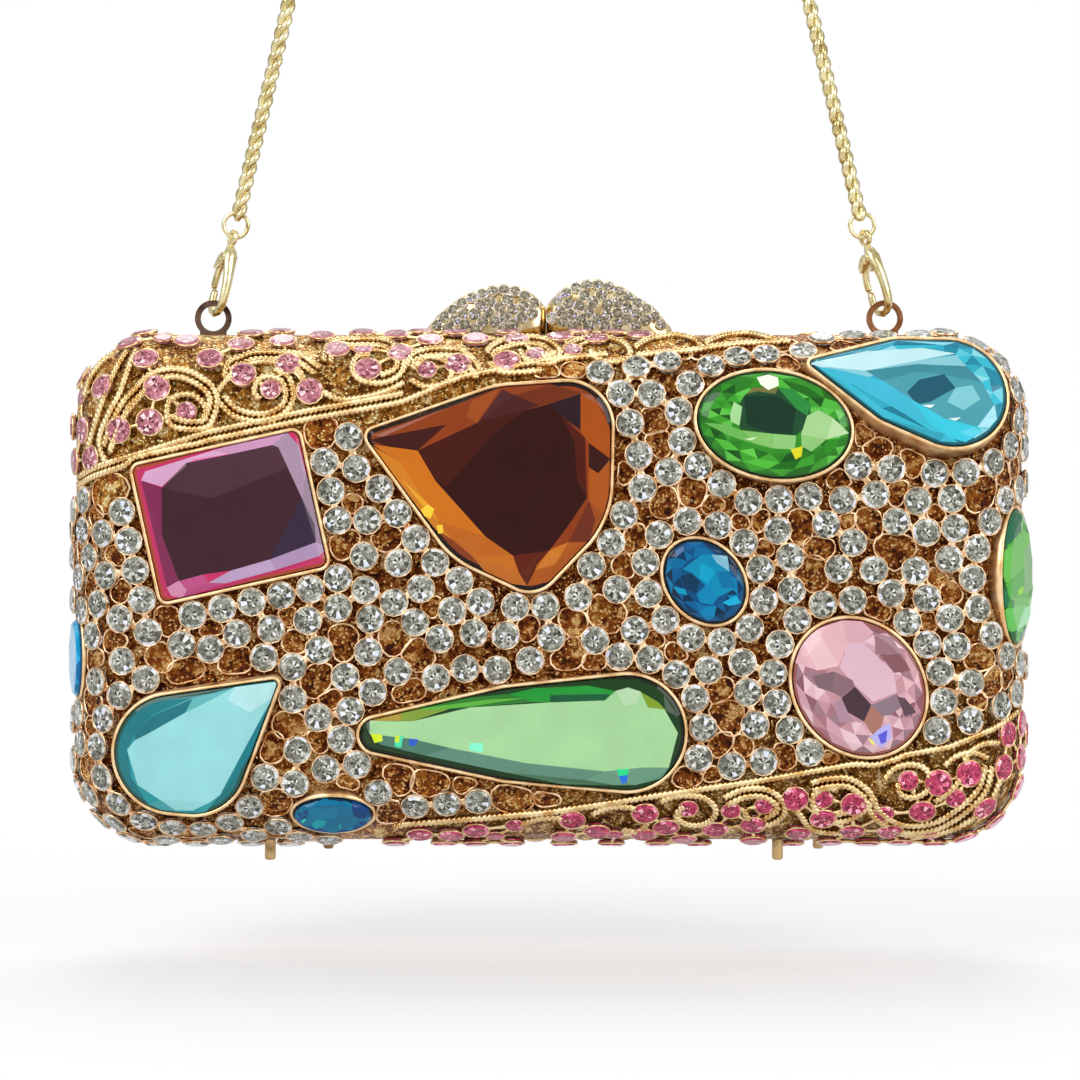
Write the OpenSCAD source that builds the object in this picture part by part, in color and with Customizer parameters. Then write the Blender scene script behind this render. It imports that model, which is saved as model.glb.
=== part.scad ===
// Hard evening clutch with two openwork half shells, large crystals in
// bezels, rhinestones, a lobed snap clasp and a short chain strap.
// The front faces -Y. The rear shell is the front one turned about Z.

/* [Case] */
// Width of the closed case
case_w = 200; // [160:1:240]
// Height of the closed case without its feet
case_h = 107; // [95:1:125]
// Depth of the closed case over both castings
case_d = 48; // [44:1:60]
// Corner radius of the case seen from the front
corner_r = 18; // [16:0.5:24]
// Width of the rounded edge seen from the front
edge_w = 16; // [12:0.5:18]
// Wall of the two castings
wall_t = 1.2; // [0.9:0.1:1.8]
// Thickness of the fabric lining
lining_t = 0.5; // [0.3:0.1:1]
// Height of the case over the ground
foot_h = 3.4; // [2.4:0.2:6]
// Radius of a foot peg
foot_r = 1.15; // [0.9:0.05:2]

/* [Frame and hinge] */
// Thickness of each frame plate
frame_t = 2.4; // [2.2:0.1:3.2]
// Width of the frame seen from the front
frame_w = 5.4; // [4.6:0.2:8]
// Radius of the hinge knuckles
knuckle_r = 1.6; // [1.4:0.05:2]
// Radius of the hinge pin
hinge_pin_r = 0.8; // [0.6:0.05:1]
// Length of the whole hinge
hinge_l = 150; // [90:1:150]
// Number of knuckles on the hinge
knuckle_count = 7; // [3:2:11]

/* [Large crystals] */
// Length of the plum rectangle
plum_l = 34.8; // [28:0.2:38]
// Width of the plum rectangle
plum_w = 28.4; // [22:0.2:31]
// Length of the amber pear
amber_l = 51.4; // [44:0.2:54]
// Width of the amber pear
amber_w = 43.4; // [38:0.2:45]
// Length of the green oval
leaf_l = 31.6; // [26:0.2:33]
// Width of the green oval
leaf_w = 21.8; // [18:0.2:23]
// Length of the aqua pear
aqua_l = 41.5; // [34:0.2:43]
// Width of the aqua pear
aqua_w = 24; // [20:0.2:25]
// Length of the blue oval
azure_l = 18.8; // [15:0.2:21]
// Width of the blue oval
azure_w = 14.8; // [12:0.2:17]
// Length of the rose oval
rose_l = 29.6; // [25:0.2:31]
// Width of the rose oval
rose_w = 25.4; // [21:0.2:27]
// Length of the long green drop
drop_l = 66.4; // [56:0.2:68]
// Width of the long green drop
drop_w = 23.6; // [19:0.2:25]
// Length of the teal pear
teal_l = 38.5; // [32:0.2:40]
// Width of the teal pear
teal_w = 26.4; // [22:0.2:28]
// Length of the small blue ovals on the edge
edge_blue_l = 16.4; // [12:0.2:18]
// Width of the small blue ovals on the edge
edge_blue_w = 10.8; // [8:0.2:12]
// Length of the green oval on the side
side_green_l = 28.4; // [22:0.2:30]
// Width of the green oval on the side
side_green_w = 18; // [14:0.2:19]
// Wall of the bezels
bezel_t = 0.8; // [0.6:0.1:1.2]
// Height of the bezels over the highest point under a crystal
bezel_h = 1.5; // [1.2:0.1:2.4]
// Height of a crystal's crown over its bezel
crown_h = 1.5; // [0.8:0.1:2.4]

/* [Rhinestones] */
// Radius of a clear rhinestone
chaton_r = 2.6; // [2:0.05:3]
// Radius of a pink rhinestone
pink_r = 2.2; // [1.6:0.05:2.6]
// Height of a rhinestone
chaton_h = 2; // [1.2:0.1:2.6]
// Distance between neighbouring rhinestones
stone_pitch = 7; // [6.4:0.1:9]
// Radius of the pave stones on the clasp
pave_r = 0.95; // [0.7:0.05:1.1]
// Radius of the rope wire
rope_r = 0.6; // [0.4:0.05:0.9]

/* [Clasp] */
// Length of one clasp lobe
lobe_l = 27; // [20:0.5:34]
// Height of one clasp lobe
lobe_h = 10.8; // [8:0.2:14]
// Half thickness of one clasp lobe
lobe_t = 3.6; // [2.6:0.2:4.4]

/* [Strap tabs] */
// Distance of each strap tab from the middle
tab_x = 71.7; // [45:0.5:78]
// Height of the eye's centre over the case top
eye_up = 3.8; // [3.6:0.1:8]
// Radius of the hole in the eye
eye_hole_r = 2.7; // [2.6:0.05:3]
// Radius of the eye
eye_r = 3.9; // [3.6:0.1:5]
// Thickness of the tab
tab_t = 0.9; // [0.6:0.05:1]
// Radius of the tab's rivet
rivet_r = 1.1; // [0.8:0.05:1.3]

/* [Strap] */
// Radius of the hook's wire
hook_r = 0.85; // [0.6:0.05:0.9]
// Radius of the hook's bend
hook_bend_r = 2.7; // [2.5:0.05:3.2]
// Distance from the hook's bend to the centre of its end eye
hook_l = 16.6; // [15:0.2:20]
// Radius of the jump ring's centre line
jump_r = 2.6; // [2.4:0.1:3]
// Radius of the jump ring's wire
jump_wire_r = 0.45; // [0.35:0.05:0.5]
// Radius of a chain link's centre line
link_r = 1.9; // [1.8:0.05:2.1]
// Radius of the chain's wire
link_wire_r = 0.45; // [0.35:0.05:0.48]

/* [Hidden] */

// Clearances and the overrun of every cut
seam_gap = 0.3;
seat_gap = 0.2;
side_gap = 0.15;
run_gap = 0.05;
over = 1;

half_turn = 180;
right_angle = 90;
round_fn = 48;
small_fn = 24;

case_mid = foot_h + case_h / 2;
case_top = foot_h + case_h;
frame_back = seam_gap + frame_t;
rim_y = frame_back + seat_gap;
edge_d = case_d / 2 - rim_y;
hinge_z = foot_h + knuckle_r;
frame_low = hinge_z + knuckle_r + seam_gap;

// Shape of the half shell

corner_steps = 8;
level_angles = [0, 15, 30, 45, 60, 75, 90];
lining_angles = [0, 22.5, 45, 67.5, 90];
least_corner_r = 0.15;
lining_gap = seat_gap;

// One closed ring, counter-clockwise seen from +Y, at an inset and a depth
function ring(inset, y, steps) =
    let (r = max(corner_r - inset, least_corner_r),
         a = case_w / 2 - inset - r, b = case_h / 2 - inset - r)
    [for (c = [0:3]) for (k = [0:steps])
        let (t = -right_angle * (c + k / steps),
             x = (c == 0 || c == 3) ? a : -a, z = (c == 0 || c == 1) ? -b : b)
        [x + r * cos(t), -y, case_mid + z + r * sin(t)]];

// A closed solid over a stack of equal rings
module skin(rings) {
    n = len(rings[0]);
    last = (len(rings) - 1) * n;
    sides = [for (k = [0:len(rings) - 2]) for (i = [0:n - 1])
        let (a = k * n + i, b = k * n + (i + 1) % n)
        each [[a, a + n, b + n], [a, b + n, b]]];
    ends = [[for (i = [0:n - 1]) i], [for (i = [n - 1:-1:0]) last + i]];
    polyhedron([for (r = rings) each r], concat(sides, ends));
}

// A closed hoop whose last ring joins its first
module hoop(rings) {
    n = len(rings[0]);
    m = len(rings);
    polyhedron([for (r = rings) each r],
        [for (k = [0:m - 1]) for (i = [0:n - 1])
            let (a = k * n + i, b = k * n + (i + 1) % n,
                 c = ((k + 1) % m) * n + (i + 1) % n, d = ((k + 1) % m) * n + i)
            each [[a, d, c], [a, c, b]]]);
}

// A tray of even wall whose outside lies in_by inside the shell's surface
module tray(in_by, wall, rim, angles, steps) {
    outer = [for (t = angles)
        ring(in_by + edge_w * (1 - cos(t)), rim + (case_d / 2 - in_by - rim) * sin(t), steps)];
    inner = [for (t = angles)
        ring(in_by + wall + edge_w * (1 - cos(t)),
            rim + (case_d / 2 - in_by - wall - rim) * sin(t), steps)];
    n = len(angles) - 1;
    skin(concat([for (k = [n:-1:0]) outer[k]], inner));
}

// The rear half is the front half turned about Z
module rear() { rotate([0, 0, half_turn]) children(); }

// How far a point seen from the front lies inside the case outline
function inset_at(x, z) =
    let (qx = abs(x) - (case_w / 2 - corner_r), qz = abs(z - case_mid) - (case_h / 2 - corner_r))
    corner_r - norm([max(qx, 0), max(qz, 0)]) - min(max(qx, qz), 0);

// Depth of the shell's smooth surface at a point seen from the front
function depth_at(x, z) =
    let (i = inset_at(x, z))
    i <= 0 ? 0 : rim_y + edge_d * sqrt(1 - pow(1 - min(i, edge_w) / edge_w, 2));

function in_shell(p) = inset_at(p[0], p[2]) > 0 && -p[1] < depth_at(p[0], p[2]);

// Outward unit vector of the surface at a point seen from the front
function normal_at(x, z) =
    let (qx = abs(x) - (case_w / 2 - corner_r), qz = abs(z - case_mid) - (case_h / 2 - corner_r),
         sx = sign(x), sz = sign(z - case_mid),
         g = (qx > 0 && qz > 0) ? [qx * sx, qz * sz] / norm([qx, qz])
             : (qx > qz ? [sx, 0] : [0, sz]),
         c = max(1 - inset_at(x, z) / edge_w, 0), s = sqrt(1 - c * c),
         v = [g[0] * edge_d * c, -edge_w * s, g[1] * edge_d * c])
    v / norm(v);

// Large crystals

// Each crystal is [discs or [], length, width, [x, z], [yaw, pitch, roll]].
// Its outline is the hull of discs in shares of its length and width, or an
// ellipse where it has no discs.
oval_shares = [];
corner_share = 0.055;
plum_shares = [for (u = [-1, 1]) for (v = [-1, 1])
    [u * (0.5 - corner_share * plum_w / plum_l), v * (0.5 - corner_share), corner_share]];
amber_shares = [[-0.464, -0.063, 0.039], [0.236, 0.288, 0.212],
                [0.278, -0.357, 0.143], [0.117, -0.033, 0.449]];
drop_shares = [[-0.449, 0, 0.144], [-0.036, 0, 0.398], [0.324, 0, 0.496]];
teal_shares = [[0.462, 0.019, 0.034], [-0.186, 0.044, 0.458], [-0.132, -0.093, 0.409]];
aqua_shares = [[-0.478, 0, 0.035], [-0.03, 0, 0.4], [0.21, 0, 0.49]];

function place(x_share, z_share) = [x_share * case_w, case_mid + z_share * case_h];

side_blue_angle = 24;
side_green_angle = 34;
function on_side(angle, z_share) =
    [case_w / 2 - edge_w * (1 - cos(angle)), case_mid + z_share * case_h];
function side_yaw(angle) = atan2(edge_d * cos(angle), edge_w * sin(angle));
left_at = on_side(side_blue_angle, -0.137);

plum = [plum_shares, plum_l, plum_w, place(-0.3275, 0.139), [0, 0, 12.5]];
amber = [amber_shares, amber_l, amber_w, place(-0.061, 0.238), [0, 0, -20]];
green_oval = [oval_shares, leaf_l, leaf_w, place(0.23, 0.312), [0, 6, -9]];
aqua_pear = [aqua_shares, aqua_l, aqua_w, place(0.368, 0.389), [6, 20, -13]];
blue_oval = [oval_shares, azure_l, azure_w, place(0.159, 0.014), [0, 0, -48]];
rose = [oval_shares, rose_l, rose_w, place(0.317, -0.189), [0, 0, -50]];
green_drop = [drop_shares, drop_l, drop_w, place(-0.028, -0.277), [0, -2, 0.5]];
teal_pear = [teal_shares, teal_l, teal_w, place(-0.352, -0.282), [-1, -6, 36.5]];
bottom_blue = [oval_shares, edge_blue_l, edge_blue_w, place(-0.2235, -0.436), [0, -45, 0]];
side_blue = [oval_shares, edge_blue_l, edge_blue_w, [-left_at[0], left_at[1]],
             [-side_yaw(side_blue_angle), 0, 90]];
side_green = [oval_shares, side_green_l, side_green_w, on_side(side_green_angle, 0.022),
              [side_yaw(side_green_angle), 0, 90]];
crystals = [plum, amber, green_oval, aqua_pear, blue_oval, rose, green_drop, teal_pear,
            bottom_blue, side_blue, side_green];

function discs(s) = [for (d = s[0]) [d[0] * s[1], d[1] * s[2], d[2] * s[2]]];

// How far the outline reaches in direction t, and the point where it does
function reach(s, t) = len(s[0]) == 0
    ? norm([s[1] / 2 * cos(t), s[2] / 2 * sin(t)])
    : max([for (d = discs(s)) d[0] * cos(t) + d[1] * sin(t) + d[2]]);
function rim_point(s, t) = len(s[0]) == 0
    ? [pow(s[1] / 2, 2) * cos(t), pow(s[2] / 2, 2) * sin(t)] / reach(s, t)
    : [for (d = discs(s)) if (d[0] * cos(t) + d[1] * sin(t) + d[2] >= reach(s, t) - tiny)
        [d[0] + d[2] * cos(t), d[1] + d[2] * sin(t)]][0];
tiny = 0.000001;

outline_steps = 24;
function outline(s, offset) = [for (k = [0:outline_steps - 1])
    let (t = (k + 0.5) * 360 / outline_steps) rim_point(s, t) + offset * [cos(t), sin(t)]];

// The same outline with its long straight runs divided
longest_run = 8;
function runs(s, offset) =
    let (p = outline(s, 0), o = outline(s, offset), n = len(p))
    [for (i = [0:n - 1])
        let (m = ceil(norm(p[(i + 1) % n] - p[i]) / longest_run))
        for (k = [0:m - 1]) o[i] + (o[(i + 1) % n] - o[i]) * k / m];

// A crystal's own frame: along, across and out
function facing(s) =
    let (yaw = s[4][0], pitch = s[4][1], roll = s[4][2],
         n = [sin(yaw) * cos(pitch), -cos(yaw) * cos(pitch), sin(pitch)],
         a = [cos(yaw), sin(yaw), 0], b = cross(n, a))
    [a * cos(roll) + b * sin(roll), b * cos(roll) - a * sin(roll), n];

// Distance along n from p to the shell's surface, found by halving
halvings = 12;
function skin_along(p, n, low, high, left) =
    let (m = (low + high) / 2)
    left == 0 ? m
    : in_shell(p + m * n) ? skin_along(p, n, m, high, left - 1)
    : skin_along(p, n, low, m, left - 1);

function on_surface(s) = [s[3][0], -depth_at(s[3][0], s[3][1]), s[3][1]];
function to_skin(p, n) = skin_along(p, n, -edge_w, edge_w, halvings);

// The crystal's seat stands clear of the highest point of the shell under it
share_steps = [0, 0.35, 0.7, 1];
function lift(s) =
    let (f = facing(s), c = on_surface(s), o = outline(s, bezel_t))
    seat_gap + max([for (q = o) for (k = share_steps)
        to_skin(c + k * (q[0] * f[0] + q[1] * f[1]), f[2])]);

function placed(s, up, q, w) =
    let (f = facing(s)) on_surface(s) + q[0] * f[0] + q[1] * f[1] + (up + w) * f[2];

table_share = 0.74;
crystal_base = 0.15;

// A cut crystal: girdle, crown facets and a flat table
module crystal(s, share = table_share) {
    up = lift(s);
    rim = outline(s, -side_gap);
    n = len(rim);
    m = n / 2;
    top = [for (k = [0:m - 1]) share * rim[2 * k]];
    points = concat(
        [for (q = rim) placed(s, up, q, crystal_base)],
        [for (q = rim) placed(s, up, q, bezel_h)],
        [for (q = top) placed(s, up, q, bezel_h + crown_h)]);
    band = [for (i = [0:n - 1]) let (j = (i + 1) % n) each [[i, i + n, j + n], [i, j + n, j]]];
    crown = [for (k = [0:m - 1])
        let (a = n + 2 * k, b = a + 1, c = n + (2 * k + 2) % n, t = 2 * n + k, u = 2 * n + (k + 1) % m)
        each [[a, t, b], [t, u, b], [b, u, c]]];
    ends = [[for (i = [0:n - 1]) i], [for (i = [m - 1:-1:0]) 2 * n + i]];
    polyhedron(points, concat(band, crown, ends));
}

// A bezel's foot follows the shell, and its rim stands level round the crystal
bezel_lean = 0.35;
module bezel(s) {
    up = lift(s);
    n = facing(s)[2];
    out = runs(s, bezel_t);
    in = runs(s, 0);
    foot_out = [for (q = out) placed(s, 0, q, seat_gap + to_skin(placed(s, 0, q, 0), n))];
    foot_in = [for (q = in) placed(s, 0, q, seat_gap + to_skin(placed(s, 0, q, 0), n))];
    hoop([foot_out,
        [for (q = out) placed(s, up, q, bezel_h - bezel_lean)],
        [for (q = in) placed(s, up, q, bezel_h)],
        foot_in]);
}

module shell_bezels() { for (s = crystals) bezel(s); }

// Rhinestones

// Rope borders between the clear field and the two filigree bands, in shares
// of the case's width and height from its centre
top_border_shares = [[-0.52, 0.17], [-0.47, 0.215], [-0.35, 0.285], [-0.25, 0.325],
                     [-0.153, 0.357], [-0.09, 0.405], [0, 0.438], [0.06, 0.445],
                     [0.15, 0.462], [0.27, 0.49], [0.3, 0.53]];
low_border_shares = [[-0.24, -0.53], [-0.2, -0.478], [-0.15, -0.452], [0, -0.428], [0.1, -0.398],
                     [0.23, -0.363], [0.33, -0.33], [0.41, -0.303], [0.46, -0.265],
                     [0.52, -0.2]];

// Distance from a spot to the outline of a crystal, seen square to the crystal
near_plane = 7;
sight_steps = 16;
function from_crystal(p, s) =
    let (f = facing(s), d = p - on_surface(s), u = d * f[0], v = d * f[1])
    abs(d * f[2]) > near_plane ? case_w
    : max([for (k = [0:sight_steps - 1])
        let (t = k * 360 / sight_steps) u * cos(t) + v * sin(t) - reach(s, t)]);
function clear_of_crystals(p, r) = min([for (s = crystals) from_crystal(p, s)]) > r;

function surface_point(x, z) = [x, -depth_at(x, z), z];

// A border as a line of [x, z], bent round any crystal that it would meet
border_steps = 60;
border_nudge = 0.25;
function nudged(x, z, step) =
    clear_of_crystals(surface_point(x, z), bezel_t + rope_r + 2 * side_gap)
    ? z : nudged(x, z + step, step);
function border_line(shares, step) = [for (k = [0:border_steps])
    let (x = case_w * (k / border_steps - 0.5))
    [x, nudged(x, case_mid + case_h * lookup(x / case_w, shares), step)]];
function top_line() = border_line(top_border_shares, border_nudge);
function low_line() = border_line(low_border_shares, -border_nudge);

// Running length along a path, and the point at a given length
function run_lengths(p) = [for (i = 0, s = 0; i < len(p);
    s = s + (i + 1 < len(p) ? norm(p[i + 1] - p[i]) : 0), i = i + 1) s];
function run_at(l, s, i = 0) = i + 2 < len(l) && l[i + 1] < s ? run_at(l, s, i + 1) : i;
function walk(p, l, s) =
    let (i = run_at(l, s), part = (s - l[i]) / max(l[i + 1] - l[i], tiny))
    p[i] + part * (p[i + 1] - p[i]);

// Rows of stones round the rounded edge, and a staggered field on the flat
edge_row_angles = [13, 34, 54, 73];
function edge_row(angle, shift) =
    let (r = ring(edge_w * (1 - cos(angle)), rim_y + edge_d * sin(angle), corner_steps),
         p = concat(r, [r[0]]), l = run_lengths(p), total = l[len(l) - 1],
         n = floor(total / stone_pitch))
    [for (k = [0:n - 1]) walk(p, l, (k + shift) * total / n)];
row_share = 0.87;
sway_share = 0.09;
last_row_inset = edge_w * (1 - cos(edge_row_angles[len(edge_row_angles) - 1]));
field_inset = last_row_inset + 2 * chaton_r + side_gap;
function field() =
    let (a = case_w / 2 - edge_w, b = case_h / 2 - edge_w,
         nz = ceil(b / (row_share * stone_pitch)), nx = ceil(a / stone_pitch))
    [for (j = [-nz:nz]) for (i = [-nx:nx])
        let (x = (i + (j % 2 == 0 ? 0 : 0.5) + sway_share * sin(j * 77 + i * 31)) * stone_pitch,
             z = case_mid + (j + sway_share * sin(i * 83)) * row_share * stone_pitch)
        if (inset_at(x, z) > field_inset) surface_point(x, z)];
function spots() = concat(field(),
    [for (k = [0:len(edge_row_angles) - 1]) each edge_row(edge_row_angles[k], (k % 2) / 2)]);

// A rhinestone in its cup: girdle, sloping crown and table
chaton_table_share = 0.5;
chaton_base_share = 0.8;
girdle_low_share = 0.3;
girdle_high_share = 0.55;
module chaton(r, h) {
    rotate_extrude($fn = small_fn)
        polygon([[0, 0], [chaton_base_share * r, 0], [r, girdle_low_share * h],
                 [r, girdle_high_share * h], [chaton_table_share * r, h], [0, h]]);
}

// Turns +Z to the surface's outward direction at p
module upright_at(p) {
    n = normal_at(p[0], p[2]);
    translate(p + seat_gap * n)
        rotate([0, acos(n[2]), atan2(n[1], n[0])]) children();
}

foot_x_shares = [-0.292, 0.239];
foot_y_share = 0.24;
foot_y = foot_y_share * case_d;
function clear_of_feet(p, r) = p[2] > case_mid
    || min([for (s = foot_x_shares) norm([p[0] - s * case_w, p[1] + foot_y])]) > foot_r + r + side_gap;

rope_room = rope_r + side_gap;
function in_field(p, r, top, low) = p[2] < lookup(p[0], top) - r - rope_room
    && p[2] > lookup(p[0], low) + r + rope_room;
function in_bands(p, r, top, low) = p[2] > lookup(p[0], top) + r + rope_room
    || p[2] < lookup(p[0], low) - r - rope_room;
module shell_clear_stones() {
    top = top_line();
    low = low_line();
    for (p = spots())
        if (in_field(p, chaton_r, top, low) && clear_of_crystals(p, bezel_t + chaton_r + side_gap))
            upright_at(p) chaton(chaton_r, chaton_h);
}
module shell_pink_stones() {
    top = top_line();
    low = low_line();
    for (p = spots())
        if (in_bands(p, pink_r, top, low) && clear_of_crystals(p, bezel_t + pink_r + side_gap)
                && clear_of_feet(p, pink_r))
            upright_at(p) chaton(pink_r, chaton_h);
}

// Rope wires lie on the shell along the borders
rope_sides = 6;
rope_steps = 30;
function tube_ring(p, q, r, n) =
    let (d = (q - p) / norm(q - p), v = normal_at(p[0], p[2]), w = cross(d, v) / norm(cross(d, v)),
         u = cross(w, d))
    [for (k = [0:n - 1]) let (t = k * 360 / n) p + r * (cos(t) * w + sin(t) * u)];
module rope(path) {
    n = len(path);
    skin([for (i = [0:n - 1])
        let (q = path[min(i + 1, n - 1)], p = path[max(i - 1, 0)])
        [for (c = tube_ring(path[i], path[i] + q - p, rope_r, rope_sides)) c]]);
}
function rope_path(x_shares, line) = [for (k = [0:rope_steps])
    let (x = case_w * (x_shares[0] + (x_shares[1] - x_shares[0]) * k / rope_steps),
         z = lookup(x, line))
    surface_point(x, z) + (rope_r + seat_gap) * normal_at(x, z)];
top_rope_shares = [-0.488, -0.175];
low_rope_shares = [-0.16, 0.485];
module shell_filigree() {
    rope(rope_path(top_rope_shares, top_line()));
    rope(rope_path(low_rope_shares, low_line()));
}

// Frame plates, feet and hinge

module rounded_plate(w, low, high, r, t) {
    for (x = [-1, 1]) for (z = [low + r, high - r])
        translate([x * (w / 2 - r), 0, z]) rotate([right_angle, 0, 0])
            cylinder(h = t, r = r, $fn = round_fn);
    translate([-w / 2, -t, low + r]) cube([w, t, high - low - 2 * r]);
    translate([-w / 2 + r, -t, low]) cube([w - 2 * r, t, high - low]);
}

frame_in = 0.4;
frame_top = case_top - frame_in;
module shell_frame() {
    translate([0, -seam_gap, 0]) difference() {
        rounded_plate(case_w - 2 * frame_in, frame_low, frame_top, corner_r - frame_in, frame_t);
        translate([0, over, 0])
            rounded_plate(case_w - 2 * (frame_in + frame_w), frame_low + frame_w,
                frame_top - frame_w, corner_r - frame_in - frame_w, frame_t + 2 * over);
    }
}

foot_round = 0.35;
module shell_feet() {
    for (x_share = foot_x_shares) {
        x = x_share * case_w;
        c = sqrt(1 - pow((foot_y - foot_r - rim_y) / edge_d, 2));
        h = foot_h + edge_w * (1 - c) - seat_gap;
        translate([x, -foot_y, 0]) {
            cylinder(h = foot_round, r1 = foot_r - foot_round, r2 = foot_r, $fn = round_fn);
            translate([0, 0, foot_round]) cylinder(h = h - foot_round, r = foot_r, $fn = round_fn);
        }
    }
}

knuckle_step = hinge_l / knuckle_count;
web_t = 1.2;
module knuckles(first, side) {
    for (k = [first:2:knuckle_count - 1]) {
        x = -hinge_l / 2 + k * knuckle_step + side_gap;
        l = knuckle_step - 2 * side_gap;
        translate([x, 0, hinge_z]) difference() {
            union() {
                rotate([0, right_angle, 0]) cylinder(h = l, r = knuckle_r, $fn = round_fn);
                translate([0, side > 0 ? seam_gap : -seam_gap - web_t, 0])
                    cube([l, web_t, frame_low - hinge_z]);
            }
            translate([-over, 0, 0]) rotate([0, right_angle, 0])
                cylinder(h = l + 2 * over, r = hinge_pin_r + run_gap, $fn = round_fn);
        }
    }
}

// Clasp lobes

lobe_mid = -0.6;
lobe_steps = 18;
lobe_levels = [-80, -55, -28, 0, 28, 55, 80];
lobe_big_share = 0.315;
lobe_puff = 0.6;
lobe_centre_shares = [0.6, 0.315, 0.955];
lobe_r_shares = [0.78, 1, 0.1];
lobe_low = case_top + seam_gap;
function lobe_reach(t) =
    let (c = [for (k = [0:2]) [lobe_centre_shares[k] * lobe_l, lobe_r_shares[k] * lobe_h]],
         m = max([for (d = c) d[0] * cos(t) + d[1]]))
    [for (d = c) if (d[0] * cos(t) + d[1] >= m - tiny) [d[0] + d[1] * cos(t), d[1] * sin(t)]][0];
// Outline over the base line: the cut face by the other lobe, then the arch
lobe_cut_angle = acos(-lobe_big_share * lobe_l / lobe_h);
function lobe_arch() = concat([[0, 0]],
    [for (k = [0:lobe_steps]) lobe_reach(lobe_cut_angle * (1 - k / lobe_steps))]);
function lobe_ring(angle) =
    let (c = [lobe_big_share * lobe_l, 0], s = pow(cos(angle), lobe_puff))
    [for (q = lobe_arch()) let (p = c + s * (q - c)) [p[0], lobe_t * sin(angle), p[1]]];
module lobe_body() {
    translate([0, 0, lobe_low]) skin([for (t = lobe_levels) lobe_ring(t)]);
}
stem_l_share = 0.5;
module lobe(side) {
    // side is -1 for the left lobe and 1 for the right one
    translate([lobe_mid + side * side_gap, 0, 0]) {
        if (side > 0) lobe_body();
        else mirror([1, 0, 0]) lobe_body();
    }
}
module lobe_stem(side, y) {
    l = stem_l_share * lobe_l;
    x = lobe_mid + side * lobe_big_share * lobe_l - l / 2;
    translate([x, y, frame_top]) cube([l, frame_t - 2 * side_gap, lobe_low - frame_top + over]);
}
pave_h = 0.5;
pave_pitch_share = 2.35;
// Height and slope of a lobe's face at a share of the way out to its edge
function lobe_rise(s) = lobe_t * sqrt(1 - pow(s, 2 / lobe_puff));
function lobe_slope(s, edge) =
    lobe_t * lobe_t / (lobe_puff * edge) * pow(s, 2 / lobe_puff - 1) / lobe_rise(s);
module lobe_pave(side) {
    pitch = pave_pitch_share * pave_r;
    c = lobe_big_share * lobe_l;
    for (face = [-1, 1])
        for (j = [0:floor(lobe_h / pitch)])
            for (i = [-floor(c / pitch):floor(lobe_l / pitch)]) {
                q = [(i + (j % 2) / 2) * pitch, (j + 0.5) * row_share * pitch];
                edge = norm(lobe_edge(atan2(q[1], q[0])) - [c, 0]);
                s = norm(q) / edge;
                if (s < pave_edge_share && q[0] + c > pave_r) {
                    v = lobe_slope(s, edge) * q / norm(q);
                    n = [side * v[0], face, v[1]] / norm([v[0], 1, v[1]]);
                    translate([lobe_mid + side * (c + q[0] + side_gap), face * lobe_rise(s),
                            lobe_low + q[1]] + seat_gap * n)
                        rotate([0, acos(n[2]), atan2(n[1], n[0])])
                            cylinder(h = pave_h, r1 = pave_r, r2 = pave_r * chaton_table_share,
                                $fn = small_fn);
                }
            }
}
pave_edge_share = 0.8;
function lobe_edge(t) =
    let (c = [lobe_big_share * lobe_l, 0],
         p = [for (k = [0:lobe_steps * 3]) lobe_reach(lobe_cut_angle * (1 - k / (lobe_steps * 3)))],
         best = min([for (q = p) abs(atan2(q[1], q[0] - c[0]) - t)]))
    [for (q = p) if (abs(atan2(q[1], q[0] - c[0]) - t) <= best + tiny) q][0];

// Strap tabs

tab_y = seam_gap + seat_gap + side_gap + side_gap;
tab_mid = tab_y + tab_t / 2;
pocket_t = tab_y + tab_t + side_gap - seam_gap;
rivet_z = frame_top - frame_w / 2 - side_gap;
eye_z = case_top + eye_up;
hub_r = 2.5;
neck_w = 5.6;
tab_swing = 6;
head_r = 1.9;
head_t = 0.3;
head_y = seam_gap + side_gap / 2;
module tab(side) {
    translate([side * tab_x, tab_y + tab_t, 0]) rotate([right_angle, 0, 0]) difference() {
        union() {
            translate([0, eye_z, 0]) cylinder(h = tab_t, r = eye_r, $fn = round_fn);
            translate([0, rivet_z, 0]) cylinder(h = tab_t, r = hub_r, $fn = round_fn);
            translate([-hub_r, rivet_z, 0]) cube([2 * hub_r, eye_z - rivet_z - hub_r, tab_t]);
            translate([-neck_w / 2, case_top, 0]) cube([neck_w, eye_up, tab_t]);
        }
        translate([0, eye_z, -over]) cylinder(h = tab_t + 2 * over, r = eye_hole_r, $fn = round_fn);
        translate([0, rivet_z, -over])
            cylinder(h = tab_t + 2 * over, r = rivet_r + run_gap, $fn = round_fn);
    }
}
module rivet(side) {
    translate([side * tab_x, 0, rivet_z]) rotate([-right_angle, 0, 0]) {
        translate([0, 0, head_y]) cylinder(h = head_t, r = head_r, $fn = round_fn);
        translate([0, 0, head_y]) cylinder(h = frame_back - head_y, r = rivet_r, $fn = round_fn);
    }
}
pocket_half = hub_r + (frame_top - rivet_z) * sin(tab_swing) + seat_gap;
module tab_pocket(side) {
    translate([side * tab_x, 0, rivet_z]) rotate([-right_angle, 0, 0]) {
        cylinder(h = seam_gap + pocket_t, r = pocket_half, $fn = round_fn);
        translate([-pocket_half, -frame_w, 0]) cube([2 * pocket_half, frame_w, seam_gap + pocket_t]);
        cylinder(h = frame_back + over, r = rivet_r, $fn = round_fn);
    }
}

// Hooks: the local Z runs up the hook, the local Y across it

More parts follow.
